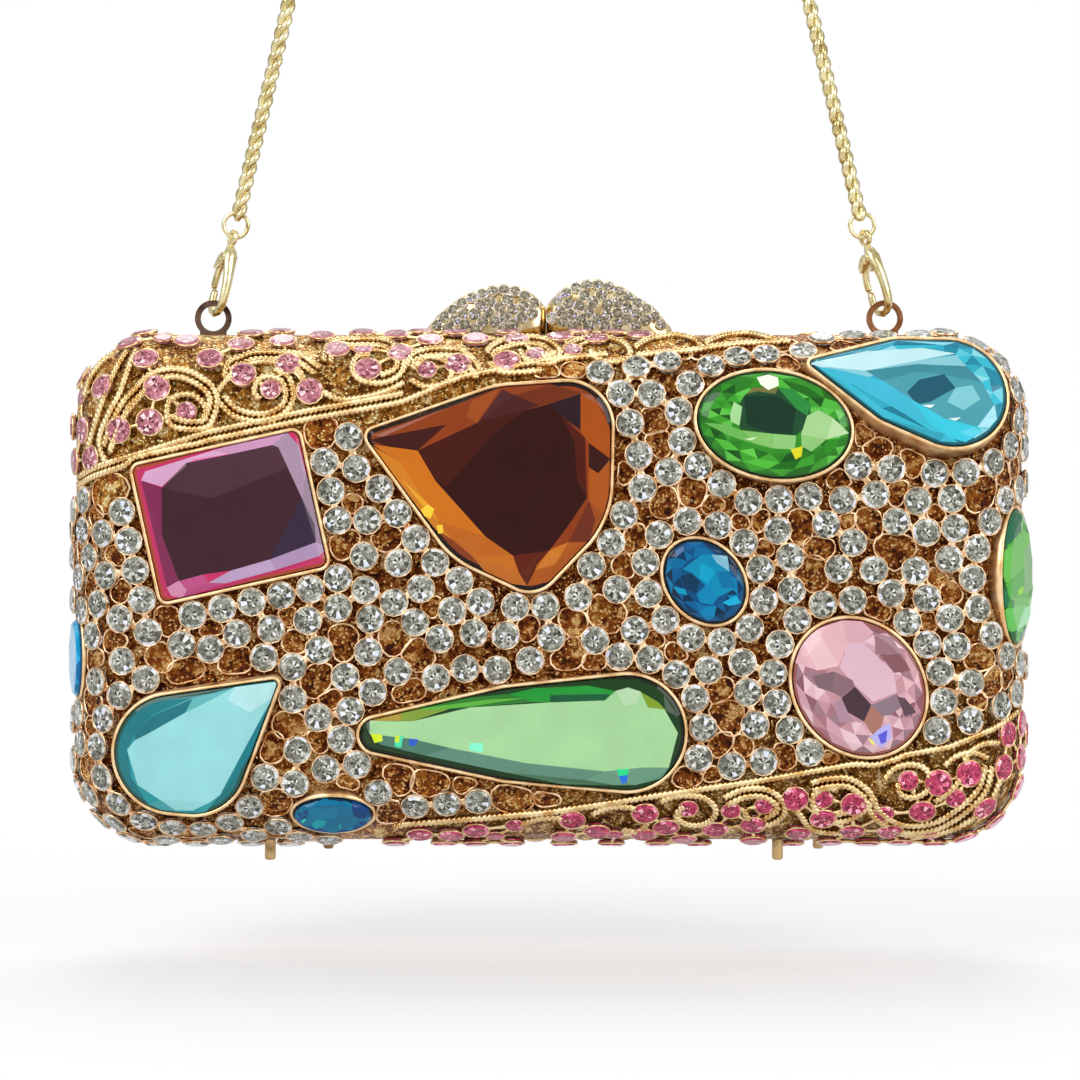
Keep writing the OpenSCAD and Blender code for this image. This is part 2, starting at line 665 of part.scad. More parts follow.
hook_lean = 13.6;
hook_turn = 30;
hook_low = 1.1;
lever_w = 1.4;
cheek_gap = 2.2;
head_w = 3.4;
pin_up_share = 0.69;
pin_out = 0.7;
lever_pin_r = 0.45;
lever_hub_r = 1;
hook_head_r = 1.75;
pin_z = pin_up_share * hook_l;
nose_up = 1.6;
hook_eye_r = 1.45;
hook_eye_wire_r = 0.55;
lever_r = 0.6;
lever_tip_r = 0.7;
nub_l = 2.4;
nub_r = 0.5;
nub_tip_r = 0.65;
nub_drop_share = 0.3;
spring_wire = 0.4;
limb_r = 1.2;
shoulder_share = 0.35;

module at_hook(side) {
    translate([side * tab_x, tab_mid, eye_z]) rotate([0, -side * hook_lean, 0])
        translate([0, 0, hook_low]) rotate([0, 0, hook_turn]) children();
}
module ball_at(p, r) { translate(p) sphere(r = r, $fn = small_fn); }
module bar(p, q, r1, r2) {
    d = q - p;
    translate(p) rotate([0, acos(d[2] / norm(d)), atan2(d[1], d[0])])
        cylinder(h = norm(d), r1 = r1, r2 = r2, $fn = small_fn);
}
module bend(r, wire, from, angle) {
    rotate([right_angle, 0, right_angle]) rotate([0, 0, from])
        rotate_extrude(angle = angle, $fn = round_fn) translate([r, 0]) circle(r = wire, $fn = small_fn);
}
hook_back = [0, -hook_bend_r, hook_bend_r];
hook_nose = [0, hook_bend_r, hook_bend_r + nose_up];
hook_shoulder = [0, -shoulder_share * hook_bend_r, pin_z];
module hook_body() {
    difference() {
        union() {
            translate([0, 0, hook_bend_r]) bend(hook_bend_r, hook_r, half_turn, half_turn);
            bar([0, hook_bend_r, hook_bend_r], hook_nose, hook_r, hook_r);
            ball_at(hook_nose, hook_r);
            ball_at(hook_back, hook_r);
            bar(hook_back, hook_shoulder, hook_r, limb_r);
            translate([-head_w / 2, pin_out, pin_z]) rotate([0, right_angle, 0])
                cylinder(h = head_w, r = hook_head_r, $fn = round_fn);
            bar([0, 0, pin_z], [0, 0, hook_l - hook_eye_r], head_w / 2, hook_eye_wire_r + side_gap);
            translate([0, 0, hook_l]) bend(hook_eye_r, hook_eye_wire_r, 0, 360);
        }
        translate([-cheek_gap / 2, pin_out - lever_hub_r - side_gap, pin_z - hook_head_r - over])
            cube([cheek_gap, 2 * hook_head_r, hook_head_r + lever_hub_r + side_gap + over]);
        translate([-head_w, pin_out, pin_z]) rotate([0, right_angle, 0])
            cylinder(h = 2 * head_w, r = lever_pin_r, $fn = round_fn);
    }
}
lever_x = side_gap / 2 - cheek_gap / 2;
lever_mid = lever_x + lever_w / 2;
lever_tip_z = hook_nose[2] + hook_r + lever_tip_r + side_gap;
nub_tip = [lever_mid, pin_out + lever_hub_r + nub_l, pin_z - nub_drop_share * nub_l];
module lever_body() {
    pivot = [lever_mid, pin_out, pin_z];
    tip = [lever_mid, hook_bend_r, lever_tip_z];
    difference() {
        union() {
            translate([lever_x, pin_out, pin_z]) rotate([0, right_angle, 0])
                cylinder(h = lever_w, r = lever_hub_r, $fn = round_fn);
            bar(pivot, tip, lever_r, lever_r);
            ball_at(tip, lever_tip_r);
            bar(pivot, nub_tip, nub_r, nub_r);
            ball_at(nub_tip, nub_tip_r);
        }
        translate([-head_w, pin_out, pin_z]) rotate([0, right_angle, 0])
            cylinder(h = 2 * head_w, r = lever_pin_r + run_gap, $fn = round_fn);
    }
}
module lever_pin() {
    translate([-head_w / 2, pin_out, pin_z]) rotate([0, right_angle, 0])
        cylinder(h = head_w, r = lever_pin_r, $fn = round_fn);
}
module lever_spring() {
    translate([lever_x + lever_w + side_gap, pin_out, pin_z])
        rotate([0, right_angle, 0]) difference() {
            cylinder(h = spring_wire, r = lever_hub_r - run_gap, $fn = round_fn);
            translate([0, 0, -over])
                cylinder(h = spring_wire + 2 * over, r = lever_pin_r + run_gap, $fn = round_fn);
        }
}

// Jump rings and chain

jump_up = hook_l + side_gap + jump_r;
module jump_ring(side) {
    translate([side * tab_x, tab_mid, eye_z]) rotate([0, -side * hook_lean, 0])
        translate([0, 0, hook_low + jump_up]) rotate([right_angle, 0, 0])
            rotate_extrude($fn = round_fn) translate([jump_r, 0]) circle(r = jump_wire_r, $fn = small_fn);
}

// The strap's route from its left end to its top, seen from the front; the
// right half mirrors it
route_points = [[-66.1, 137.4], [-61.8, 155.5], [-57.5, 173.5], [-53.3, 191.5], [-49, 209.5],
                [-44.8, 227.5], [-40.6, 245.5], [-37, 261], [-34, 268.4], [-29, 276.5],
                [-21.5, 283.3], [-11.5, 288.3], [0, 290]];
strap_route = concat(route_points,
    [for (k = [len(route_points) - 2:-1:0]) [-route_points[k][0], route_points[k][1]]]);
bend_steps = 6;
function smooth(p) = concat([for (i = [0:len(p) - 2]) for (k = [0:bend_steps - 1])
    let (a = p[max(i - 1, 0)], b = p[i], c = p[i + 1], d = p[min(i + 2, len(p) - 1)], t = k / bend_steps)
    0.5 * (2 * b + (c - a) * t + (2 * a - 5 * b + 4 * c - d) * t * t
        + (3 * b - a - 3 * c + d) * t * t * t)], [p[len(p) - 1]]);
link_gap = 0.13;
link_pitch = 2 * (link_r - link_wire_r) - link_gap;
link_roll = 45;
module strap_links() {
    p = smooth(strap_route);
    l = run_lengths(p);
    total = l[len(l) - 1];
    n = round(total / link_pitch);
    for (k = [0:n]) {
        s = k * total / n;
        a = walk(p, l, max(s - link_pitch / 2, 0));
        b = walk(p, l, min(s + link_pitch / 2, total));
        q = walk(p, l, s);
        translate([q[0], tab_mid, q[1]]) rotate([0, -atan2(b[1] - a[1], b[0] - a[0]), 0])
            rotate([k % 2 == 0 ? link_roll : -link_roll, 0, 0])
                rotate_extrude($fn = round_fn) translate([link_r, 0])
                    circle(r = link_wire_r, $fn = small_fn);
    }
}

// Sub-parts

module front_casting() color("goldenrod") tray(0, wall_t, rim_y, level_angles, corner_steps);
module rear_casting() color("goldenrod") rear() tray(0, wall_t, rim_y, level_angles, corner_steps);
module front_frame() color("gold") shell_frame();
module rear_frame() color("gold") difference() {
    rear() shell_frame();
    tab_pocket(-1);
    tab_pocket(1);
}
module front_lining() color("burlywood")
    tray(wall_t + lining_gap, lining_t, rim_y + lining_gap, lining_angles, 3);
module rear_lining() color("burlywood")
    rear() tray(wall_t + lining_gap, lining_t, rim_y + lining_gap, lining_angles, 3);
module front_bezels() color("gold") shell_bezels();
module rear_bezels() color("gold") rear() shell_bezels();
module front_plum_crystal() color("palevioletred") crystal(plum);
module rear_plum_crystal() color("palevioletred") rear() crystal(plum);
module front_amber_crystal() color("saddlebrown") crystal(amber);
module rear_amber_crystal() color("saddlebrown") rear() crystal(amber);
module front_green_oval_crystal() color("limegreen") crystal(green_oval);
module rear_green_oval_crystal() color("limegreen") rear() crystal(green_oval);
module front_aqua_pear_crystal() color("turquoise") crystal(aqua_pear);
module rear_aqua_pear_crystal() color("turquoise") rear() crystal(aqua_pear);
module front_blue_oval_crystal() color("deepskyblue") crystal(blue_oval);
module rear_blue_oval_crystal() color("deepskyblue") rear() crystal(blue_oval);
module front_rose_crystal() color("pink") crystal(rose);
module rear_rose_crystal() color("pink") rear() crystal(rose);
module front_green_drop_crystal() color("lightgreen") crystal(green_drop);
module rear_green_drop_crystal() color("lightgreen") rear() crystal(green_drop);
module front_teal_pear_crystal() color("mediumturquoise") crystal(teal_pear);
module rear_teal_pear_crystal() color("mediumturquoise") rear() crystal(teal_pear);
module front_bottom_blue_crystal() color("deepskyblue") crystal(bottom_blue);
module rear_bottom_blue_crystal() color("deepskyblue") rear() crystal(bottom_blue);
module front_side_blue_crystal() color("deepskyblue") crystal(side_blue);
module rear_side_blue_crystal() color("deepskyblue") rear() crystal(side_blue);
module front_side_green_crystal() color("limegreen") crystal(side_green);
module rear_side_green_crystal() color("limegreen") rear() crystal(side_green);
module front_clear_stones() color("whitesmoke") shell_clear_stones();
module rear_clear_stones() color("whitesmoke") rear() shell_clear_stones();
module front_pink_stones() color("hotpink") shell_pink_stones();
module rear_pink_stones() color("hotpink") rear() shell_pink_stones();
module front_filigree() color("gold") shell_filigree();
module rear_filigree() color("gold") rear() shell_filigree();
module front_feet() color("gold") shell_feet();
module rear_feet() color("gold") rear() shell_feet();
module front_knuckles() color("goldenrod") knuckles(1, -1);
module rear_knuckles() color("goldenrod") knuckles(0, 1);
module hinge_pin() color("silver")
    translate([-hinge_l / 2, 0, hinge_z]) rotate([0, right_angle, 0])
        cylinder(h = hinge_l, r = hinge_pin_r, $fn = round_fn);
module front_clasp_lobe() color("gold") {
    lobe(1);
    lobe_stem(1, -frame_back + side_gap);
}
module rear_clasp_lobe() color("gold") {
    lobe(-1);
    lobe_stem(-1, seam_gap + side_gap);
}
module front_lobe_stones() color("whitesmoke") lobe_pave(1);
module rear_lobe_stones() color("whitesmoke") lobe_pave(-1);
module left_tab() color("peru") tab(-1);
module right_tab() color("peru") tab(1);
module tab_rivets() color("gold") for (side = [-1, 1]) rivet(side);
module left_hook() color("gold") at_hook(-1) hook_body();
module right_hook() color("gold") at_hook(1) hook_body();
module left_lever() color("khaki") at_hook(-1) lever_body();
module right_lever() color("khaki") at_hook(1) lever_body();
module lever_pins() color("gold") for (side = [-1, 1]) at_hook(side) lever_pin();
module lever_springs() color("silver") for (side = [-1, 1]) at_hook(side) lever_spring();
module left_jump_ring() color("gold") jump_ring(-1);
module right_jump_ring() color("gold") jump_ring(1);
module strap_chain() color("gold") strap_links();

front_casting();
rear_casting();
front_frame();
rear_frame();
front_lining();
rear_lining();
front_bezels();
rear_bezels();
front_plum_crystal();
rear_plum_crystal();
front_amber_crystal();
rear_amber_crystal();
front_green_oval_crystal();
rear_green_oval_crystal();
front_aqua_pear_crystal();
rear_aqua_pear_crystal();
front_blue_oval_crystal();
rear_blue_oval_crystal();
front_rose_crystal();
rear_rose_crystal();
front_green_drop_crystal();
rear_green_drop_crystal();
front_teal_pear_crystal();
rear_teal_pear_crystal();
front_bottom_blue_crystal();
rear_bottom_blue_crystal();
front_side_blue_crystal();
rear_side_blue_crystal();
front_side_green_crystal();
rear_side_green_crystal();
front_clear_stones();
rear_clear_stones();
front_pink_stones();
rear_pink_stones();
front_filigree();
rear_filigree();
front_feet();
rear_feet();
front_knuckles();
rear_knuckles();
hinge_pin();
front_clasp_lobe();
rear_clasp_lobe();
front_lobe_stones();
rear_lobe_stones();
left_tab();
right_tab();
tab_rivets();
left_hook();
right_hook();
left_lever();
right_lever();
lever_pins();
lever_springs();
left_jump_ring();
right_jump_ring();
strap_chain();
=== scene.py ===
import math
import random

import bmesh
import bpy
from mathutils import Matrix, Vector, geometry


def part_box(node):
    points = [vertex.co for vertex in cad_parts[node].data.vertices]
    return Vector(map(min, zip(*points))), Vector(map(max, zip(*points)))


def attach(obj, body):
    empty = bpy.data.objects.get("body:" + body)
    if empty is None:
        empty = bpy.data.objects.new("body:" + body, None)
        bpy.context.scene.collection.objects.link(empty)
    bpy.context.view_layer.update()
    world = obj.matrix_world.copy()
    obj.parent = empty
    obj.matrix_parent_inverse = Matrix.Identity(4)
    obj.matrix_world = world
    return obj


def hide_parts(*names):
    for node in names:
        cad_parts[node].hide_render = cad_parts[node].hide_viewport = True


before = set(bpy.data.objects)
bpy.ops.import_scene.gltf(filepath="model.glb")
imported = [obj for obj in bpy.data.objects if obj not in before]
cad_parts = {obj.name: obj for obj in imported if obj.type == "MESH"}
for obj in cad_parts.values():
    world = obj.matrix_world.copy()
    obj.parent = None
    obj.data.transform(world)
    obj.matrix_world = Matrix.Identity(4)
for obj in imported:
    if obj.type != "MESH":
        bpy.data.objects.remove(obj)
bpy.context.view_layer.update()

# Camera
# The view of the photograph: square to the front, a little left of the middle,
# at the height of the case's centre. Lengths in this script are millimetres
# until a piece is finished.
MM = 0.001
view_x, view_z, view_distance = -1.92, 66.9, 650.0
view_size, view_scale = 1080, 0.2132
camera_data = bpy.data.cameras.new("camera")
camera_data.sensor_width = 36.0
camera_data.lens = camera_data.sensor_width * view_distance / (view_size * view_scale)
camera = bpy.data.objects.new("camera", camera_data)
camera.location = Vector((view_x, -view_distance, view_z)) * MM
camera.rotation_euler = (math.radians(90), 0, 0)
bpy.context.scene.collection.objects.link(camera)
bpy.context.scene.camera = camera


# Strap chain
# A short chain of flat curb links: oval rings of round wire, each twisted so
# that it lies flat through its neighbours, in pale gold plate. It is held up
# at its top and ends in a jump ring on each side.
def colour(code):
    """The linear colour of a six-digit screen colour."""
    parts = [int(code[i:i + 2], 16) / 255 for i in (0, 2, 4)]
    return tuple(p / 12.92 if p <= 0.04045 else ((p + 0.055) / 1.055) ** 2.4 for p in parts)


def fill(node, inputs):
    """Sets a node's inputs, and links those whose value is a socket."""
    for name, value in dict(inputs).items():
        if isinstance(value, bpy.types.NodeSocket):
            node.id_data.links.new(value, node.inputs[name])
        else:
            node.inputs[name].default_value = value
    return node


def add_node(tree, kind, inputs=(), **settings):
    node = tree.nodes.new(kind)
    for name, value in settings.items():
        setattr(node, name, value)
    return fill(node, inputs)


def maths(tree, operation, *values):
    return add_node(tree, "ShaderNodeMath", enumerate(values), operation=operation).outputs[0]


def mapped(tree, value, low, high, to_low=0.0, to_high=1.0):
    """A value's place between low and high, on another scale."""
    node = add_node(tree, "ShaderNodeMapRange", {"Value": value, "From Min": low, "From Max": high,
                                                 "To Min": to_low, "To Max": to_high})
    return node.outputs["Result"]


def noise(tree, place, scale, detail=2.0, distortion=0.0):
    node = add_node(tree, "ShaderNodeTexNoise", {"Vector": place, "Scale": scale,
                                                 "Detail": detail, "Distortion": distortion})
    return node.outputs["Fac"]


def ramp(tree, factor, stops):
    node = add_node(tree, "ShaderNodeValToRGB", {"Fac": factor})
    while len(node.color_ramp.elements) < len(stops):
        node.color_ramp.elements.new(0.5)
    for element, (place, code) in zip(node.color_ramp.elements, stops):
        element.position = place
        element.color = (*colour(code), 1.0)
    return node.outputs["Color"]


def bumped(tree, shader, height, strength, distance):
    bump = add_node(tree, "ShaderNodeBump", {"Height": height, "Strength": strength,
                                             "Distance": distance})
    fill(shader, {"Normal": bump.outputs["Normal"]})


def new_material(name, metallic, roughness):
    """A material, its node tree, its shader and the spot on the object."""
    made = bpy.data.materials.new(name)
    made.use_nodes = True
    tree = made.node_tree
    shader = fill(tree.nodes["Principled BSDF"], {"Metallic": metallic, "Roughness": roughness})
    return made, tree, shader, add_node(tree, "ShaderNodeTexCoord").outputs["Object"]


def plated(name, pale, deep, roughness, patch=300.0, grain=2500.0, depth=0.15):
    """Plated metal: its tint drifts a little, with fine pits and rubbed spots."""
    made, tree, shader, place = new_material(name, 1.0, roughness)
    drift = noise(tree, place, patch, 3.0)
    fill(shader, {"Base Color": ramp(tree, drift, [(0.35, deep), (0.6, pale)]),
                  "Roughness": mapped(tree, drift, 0.3, 0.7, roughness * 0.7, roughness * 1.5)})
    bumped(tree, shader, noise(tree, place, grain), depth, 0.0001)
    return made


def template(bm, name):
    """Ends a shape and keeps it as a mesh."""
    mesh = bpy.data.meshes.new(name)
    bm.to_mesh(mesh)
    bm.free()
    return mesh


def stamp(bm, shape, matrix):
    """Adds a copy of a template mesh to a shape."""
    copy = shape.copy()
    copy.transform(matrix)
    bm.from_mesh(copy)
    bpy.data.meshes.remove(copy)


def finished(name, bm, finish, body, nodes=()):
    """Turns a shape in millimetres into a piece on a body, and hides what it replaces."""
    bmesh.ops.transform(bm, matrix=Matrix.Scale(MM, 4), verts=bm.verts)
    mesh = template(bm, name)
    mesh.materials.append(finish)
    piece = bpy.data.objects.new(name, mesh)
    bpy.context.scene.collection.objects.link(piece)
    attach(piece, body)
    if nodes:
        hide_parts(*nodes)
    return piece


def dress(finish, *names):
    """Gives a finish to pieces that keep their solid."""
    for name in names:
        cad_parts[name].data.materials.clear()
        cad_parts[name].data.materials.append(finish)


def rounded(bm):
    """Turns a shape's faces outward and shades them smooth."""
    bmesh.ops.recalc_face_normals(bm, faces=bm.faces)
    for face in bm.faces:
        face.smooth = True


def close_ends(bm):
    """Caps every open ring of a shape, of up to 200 sides."""
    bmesh.ops.holes_fill(bm, edges=[e for e in bm.edges if e.is_boundary], sides=200)


def around(items, i):
    """The items before and after one in a list, or itself at an end."""
    return items[max(i - 1, 0)], items[min(i + 1, len(items) - 1)]


def smooth_line(points, steps):
    """A smooth line through points, as a list of vectors."""
    p = [Vector(q) for q in points]
    line = []
    for i in range(len(p) - 1):
        a, b, c, d = p[max(i - 1, 0)], p[i], p[i + 1], p[min(i + 2, len(p) - 1)]
        for k in range(steps):
            t = k / steps
            line.append(0.5 * (2 * b + (c - a) * t + (2 * a - 5 * b + 4 * c - d) * t * t
                               + (3 * b - a - 3 * c + d) * t * t * t))
    return line + [p[-1]]


def spaced(line, gap):
    """The same line as points an even gap apart."""
    lengths = [0.0]
    for a, b in zip(line, line[1:]):
        lengths.append(lengths[-1] + (b - a).length)
    count = max(2, round(lengths[-1] / gap))
    points, i = [], 0
    for k in range(count + 1):
        s = lengths[-1] * k / count
        while i < len(line) - 2 and lengths[i + 1] < s:
            i += 1
        part = (s - lengths[i]) / max(lengths[i + 1] - lengths[i], 1e-9)
        points.append(line[i].lerp(line[i + 1], min(part, 1.0)))
    return points


tab_x, tab_y, eye_z = 71.7, 1.25, 114.2
left_route = [(-66.1, 137.4), (-61.8, 155.5), (-57.5, 173.5), (-53.3, 191.5), (-49, 209.5),
              (-44.8, 227.5), (-40.6, 245.5), (-37, 261), (-34, 268.4), (-29, 276.5),
              (-21.5, 283.3), (-11.5, 288.3), (0, 290)]
strap_route = left_route + [(-x, z) for x, z in reversed(left_route[:-1])]
link_half_l, link_half_w, link_wire, link_pitch = 1.8, 0.9, 0.84, 2.95
link_twist, link_lie = math.radians(52), math.radians(66)
pale_gold = plated("pale_gold_plate", "ebdfb0", "c6b37a", 0.22, depth=0.08)

bm = bmesh.new()
bmesh.ops.create_circle(bm, segments=6, radius=link_wire,
                        matrix=Matrix.Translation((1, 0, 0)) @ Matrix.Rotation(math.pi / 2, 4, "X"))
bmesh.ops.spin(bm, geom=bm.verts[:] + bm.edges[:], axis=(0, 0, 1), cent=(0, 0, 0),
               angle=2 * math.pi, steps=16, use_merge=True)
for vert in bm.verts:
    angle = math.atan2(vert.co.y, vert.co.x)
    out = math.hypot(vert.co.x, vert.co.y) - 1
    x = (link_half_l + out) * math.cos(angle)
    y = (link_half_w + out) * math.sin(angle)
    turn = Matrix.Rotation(link_twist * math.cos(angle), 3, "X")
    vert.co = turn @ Vector((x, y, vert.co.z))
rounded(bm)
link_shape = template(bm, "curb_link")

strap_line = spaced(smooth_line([(x, tab_y, z) for x, z in strap_route], 8), link_pitch)
bm = bmesh.new()
for i, point in enumerate(strap_line):
    before, after = around(strap_line, i)
    lean = Matrix.Rotation(-math.atan2((after - before).z, (after - before).x), 4, "Y")
    stamp(bm, link_shape, Matrix.Translation(point) @ lean @ Matrix.Rotation(link_lie, 4, "X"))
strap = finished("strap_curb_chain", bm, pale_gold, "rear_case", ["strap_chain"])

# Jump rings, hooks and levers
# Each chain end hangs on a round wire ring in the eye of a cast lobster clasp.
# The clasp's lever turns on a pin between its cheeks against a small spring.
spring_steel = plated("spring_steel", "c9c6bd", "8f8c84", 0.3)
dress(pale_gold, "left_jump_ring", "right_jump_ring", "lever_pins")
dress(spring_steel, "lever_springs")
hook_l, hook_low, hook_lean, hook_turn = 16.6, 1.1, 13.6, 30.0
pin_out, pin_z, hub_r, boss_r, cheek_x = 0.7, 11.454, 1.0, 0.8, 1.4
lever_x, lever_half_w = -0.325, 0.7


def loft(bm, rings):
    """Closed rings of equal count, joined into a tube that is open at its ends."""
    n = len(rings[0])
    made = bmesh.ops.create_grid(bm, x_segments=n, y_segments=len(rings) - 1, size=1)["verts"]
    for i, vert in enumerate(made):
        row, k = divmod(i, n + 1)
        vert.co = rings[row][k % n]
    bmesh.ops.remove_doubles(bm, verts=made, dist=1e-5)


def limb(bm, path):
    """A cast limb in the hook's upright plane: across, up, half width in it, half thickness."""
    turns = [k * math.pi / 6 for k in range(12)]
    rings = []
    for i, (y, z, wide, thick) in enumerate(path):
        a, b = around(path, i)
        out = Vector((0, b[1] - a[1], a[0] - b[0])).normalized()
        rings.append([Vector((thick * math.sin(turn), y, z)) + out * (wide * math.cos(turn))
                      for turn in turns])
    loft(bm, rings)
    close_ends(bm)


def disc(bm, r, x_low, x_high):
    """A turned boss on the pin's line, across the hook, with rounded edges."""
    place = Matrix.Translation(((x_low + x_high) / 2, pin_out, pin_z))
    made = bmesh.ops.create_cone(bm, cap_ends=True, segments=20, radius1=r, radius2=r,
                                 depth=x_high - x_low,
                                 matrix=place @ Matrix.Rotation(math.pi / 2, 4, "Y"))["verts"]
    rim = list({e for v in made for e in v.link_edges
                if abs(e.verts[0].co.x - e.verts[1].co.x) < 1e-6})
    bmesh.ops.bevel(bm, geom=rim, offset=0.12, offset_type="OFFSET", segments=2, profile=0.5,
                    affect="EDGES", material=-1)


def on_hook(bm, side):
    """Hangs a shape that was made upright in the eye of one tab."""
    place = (Matrix.Translation((side * tab_x, tab_y, eye_z))
             @ Matrix.Rotation(math.radians(-side * hook_lean), 4, "Y")
             @ Matrix.Translation((0, 0, hook_low))
             @ Matrix.Rotation(math.radians(hook_turn), 4, "Z"))
    rounded(bm)
    bmesh.ops.transform(bm, matrix=place, verts=bm.verts)


hook_path = [(2.7, 5.14, 0.4, 0.4), (2.7, 5.04, 0.62, 0.6), (2.72, 4.2, 0.82, 0.78),
             (2.7, 2.9, 0.85, 0.85), (2.4, 1.5, 0.84, 0.84), (1.45, 0.42, 0.8, 0.8),
             (0, 0, 0.76, 0.76), (-1.45, 0.42, 0.76, 0.78), (-2.45, 1.5, 0.8, 0.88),
             (-2.8, 3.0, 0.82, 0.98), (-2.86, 4.8, 0.82, 1.0), (-2.72, 6.6, 0.88, 1.05),
             (-2.4, 8.3, 0.98, 1.12), (-1.95, 9.9, 1.05, 1.25), (-1.6, 11.2, 1.0, 1.4),
             (-1.25, 12.4, 1.12, 1.5), (-0.5, 13.5, 1.2, 1.35), (-0.1, 14.4, 0.8, 0.95),
             (0, 15.1, 0.5, 0.6), (0, 15.4, 0.3, 0.35)]
lever_path = [(0.9, 11.5, 0.5, 0.6), (1.5, 11.0, 0.85, 0.72), (2.15, 9.9, 0.85, 0.74),
              (2.6, 8.4, 0.8, 0.74), (2.8, 7.0, 0.76, 0.72), (2.76, 5.95, 0.74, 0.7),
              (2.72, 5.36, 0.66, 0.62), (2.7, 5.26, 0.44, 0.42)]
nub_path = [(0.9, 11.6, 0.4, 0.45), (1.9, 11.6, 0.5, 0.5), (3.0, 11.25, 0.45, 0.5),
            (3.7, 10.9, 0.5, 0.52), (4.1, 10.7, 0.3, 0.3)]
cheek_path = [(-1.3, 12.7, 0.3, 0.2), (-0.9, 12.5, 0.8, 0.28), (0, 12.0, 1.35, 0.3),
              (0.8, 11.4, 1.5, 0.3), (1.7, 10.6, 1.2, 0.3), (2.4, 9.9, 0.7, 0.28),
              (2.7, 9.6, 0.2, 0.2)]
for side, name in ((-1, "left"), (1, "right")):
    bm = bmesh.new()
    limb(bm, hook_path)
    for x in (-cheek_x, cheek_x):
        cheek = bmesh.new()
        limb(cheek, cheek_path)
        stamp(bm, template(cheek, name + "_cheek"), Matrix.Translation((x, 0, 0)))
        disc(bm, boss_r, x - 0.4, x + 0.4)
    eye = bmesh.ops.create_circle(bm, segments=8, radius=0.55,
                                  matrix=Matrix.Translation((0, 1.45, hook_l)))["verts"]
    bmesh.ops.spin(bm, geom=eye + list({e for v in eye for e in v.link_edges}),
                   axis=(1, 0, 0), cent=(0, 0, hook_l), angle=2 * math.pi, steps=20, use_merge=True)
    on_hook(bm, side)
    finished(name + "_lobster_hook", bm, pale_gold, "rear_case",
                               [name + "_hook"])
    bm = bmesh.new()
    disc(bm, hub_r, lever_x - lever_half_w, lever_x + lever_half_w)
    limbs = bmesh.new()
    limb(limbs, lever_path)
    limb(limbs, nub_path)
    stamp(bm, template(limbs, name + "_lever_limbs"), Matrix.Translation((lever_x, 0, 0)))
    on_hook(bm, side)
    finished(name + "_hook_lever", bm, pale_gold, name + "_lever",
                               [name + "_lever"])

# Strap tabs
# Stamped sheet-metal eyelets with a dull copper-brown plate, each riveted to
# the rear frame. The left one is painted darker than the right one: painted
# shadow and dark reflection.
dress(plated("tab_plate_painted_shade", "6b5346", "3c2c26", 0.32, grain=1600.0, depth=0.3), "left_tab")
dress(plated("tab_plate_copper", "b07a55", "8a5637", 0.34, grain=1600.0, depth=0.3), "right_tab")

# Case surface
# Both halves are pierced castings with a flat face and rounded edges. These
# rules give the outside of the front half, on which every later piece sits.
case_w, case_h, case_d, corner_r, edge_w = 200.0, 107.0, 48.0, 18.0, 16.0
foot_h, rim_y = 3.4, 2.9
case_mid = foot_h + case_h / 2
edge_d = case_d / 2 - rim_y


def past_corner(x, z):
    """How far a spot lies beyond the corners' centres, across and up."""
    return abs(x) - (case_w / 2 - corner_r), abs(z - case_mid) - (case_h / 2 - corner_r)


def inset_at(x, z):
    """How far a spot lies inside the case's outline."""
    qx, qz = past_corner(x, z)
    return corner_r - math.hypot(max(qx, 0), max(qz, 0)) - min(max(qx, qz), 0)


def depth_at(x, z):
    """How far the shell stands out from the middle of the case."""
    inset = min(inset_at(x, z), edge_w)
    return 0.0 if inset <= 0 else rim_y + edge_d * math.sqrt(1 - (1 - inset / edge_w) ** 2)


def edge_normal(out, c, s):
    """The outward direction of the rounded edge, from its angle's cosine and sine."""
    return Vector((out.x * edge_d * c, -edge_w * s, out.y * edge_d * c)).normalized()


def normal_at(x, z):
    qx, qz = past_corner(x, z)
    sx, sz = math.copysign(1, x), math.copysign(1, z - case_mid)
    if qx > 0 and qz > 0:
        out = Vector((qx * sx, qz * sz)).normalized()
    else:
        out = Vector((sx, 0)) if qx > qz else Vector((0, sz))
    c = min(max(1 - inset_at(x, z) / edge_w, 0), 0.999)
    return edge_normal(out, c, math.sqrt(1 - c * c))


def surface(x, z):
    return Vector((x, -depth_at(x, z), z))


def skin_at(x, z):
    return surface(x, z), normal_at(x, z)


def at_pixel(px, py):
    """The spot on the front half that this pixel of the 1080 x 1080 view shows."""
    depth = case_d / 2
    for _ in range(4):
        k = view_scale * (view_distance - depth) / view_distance
        x, z = view_x + (px - view_size / 2) * k, view_z - (py - view_size / 2) * k
        depth = depth_at(x, z)
    return x, z


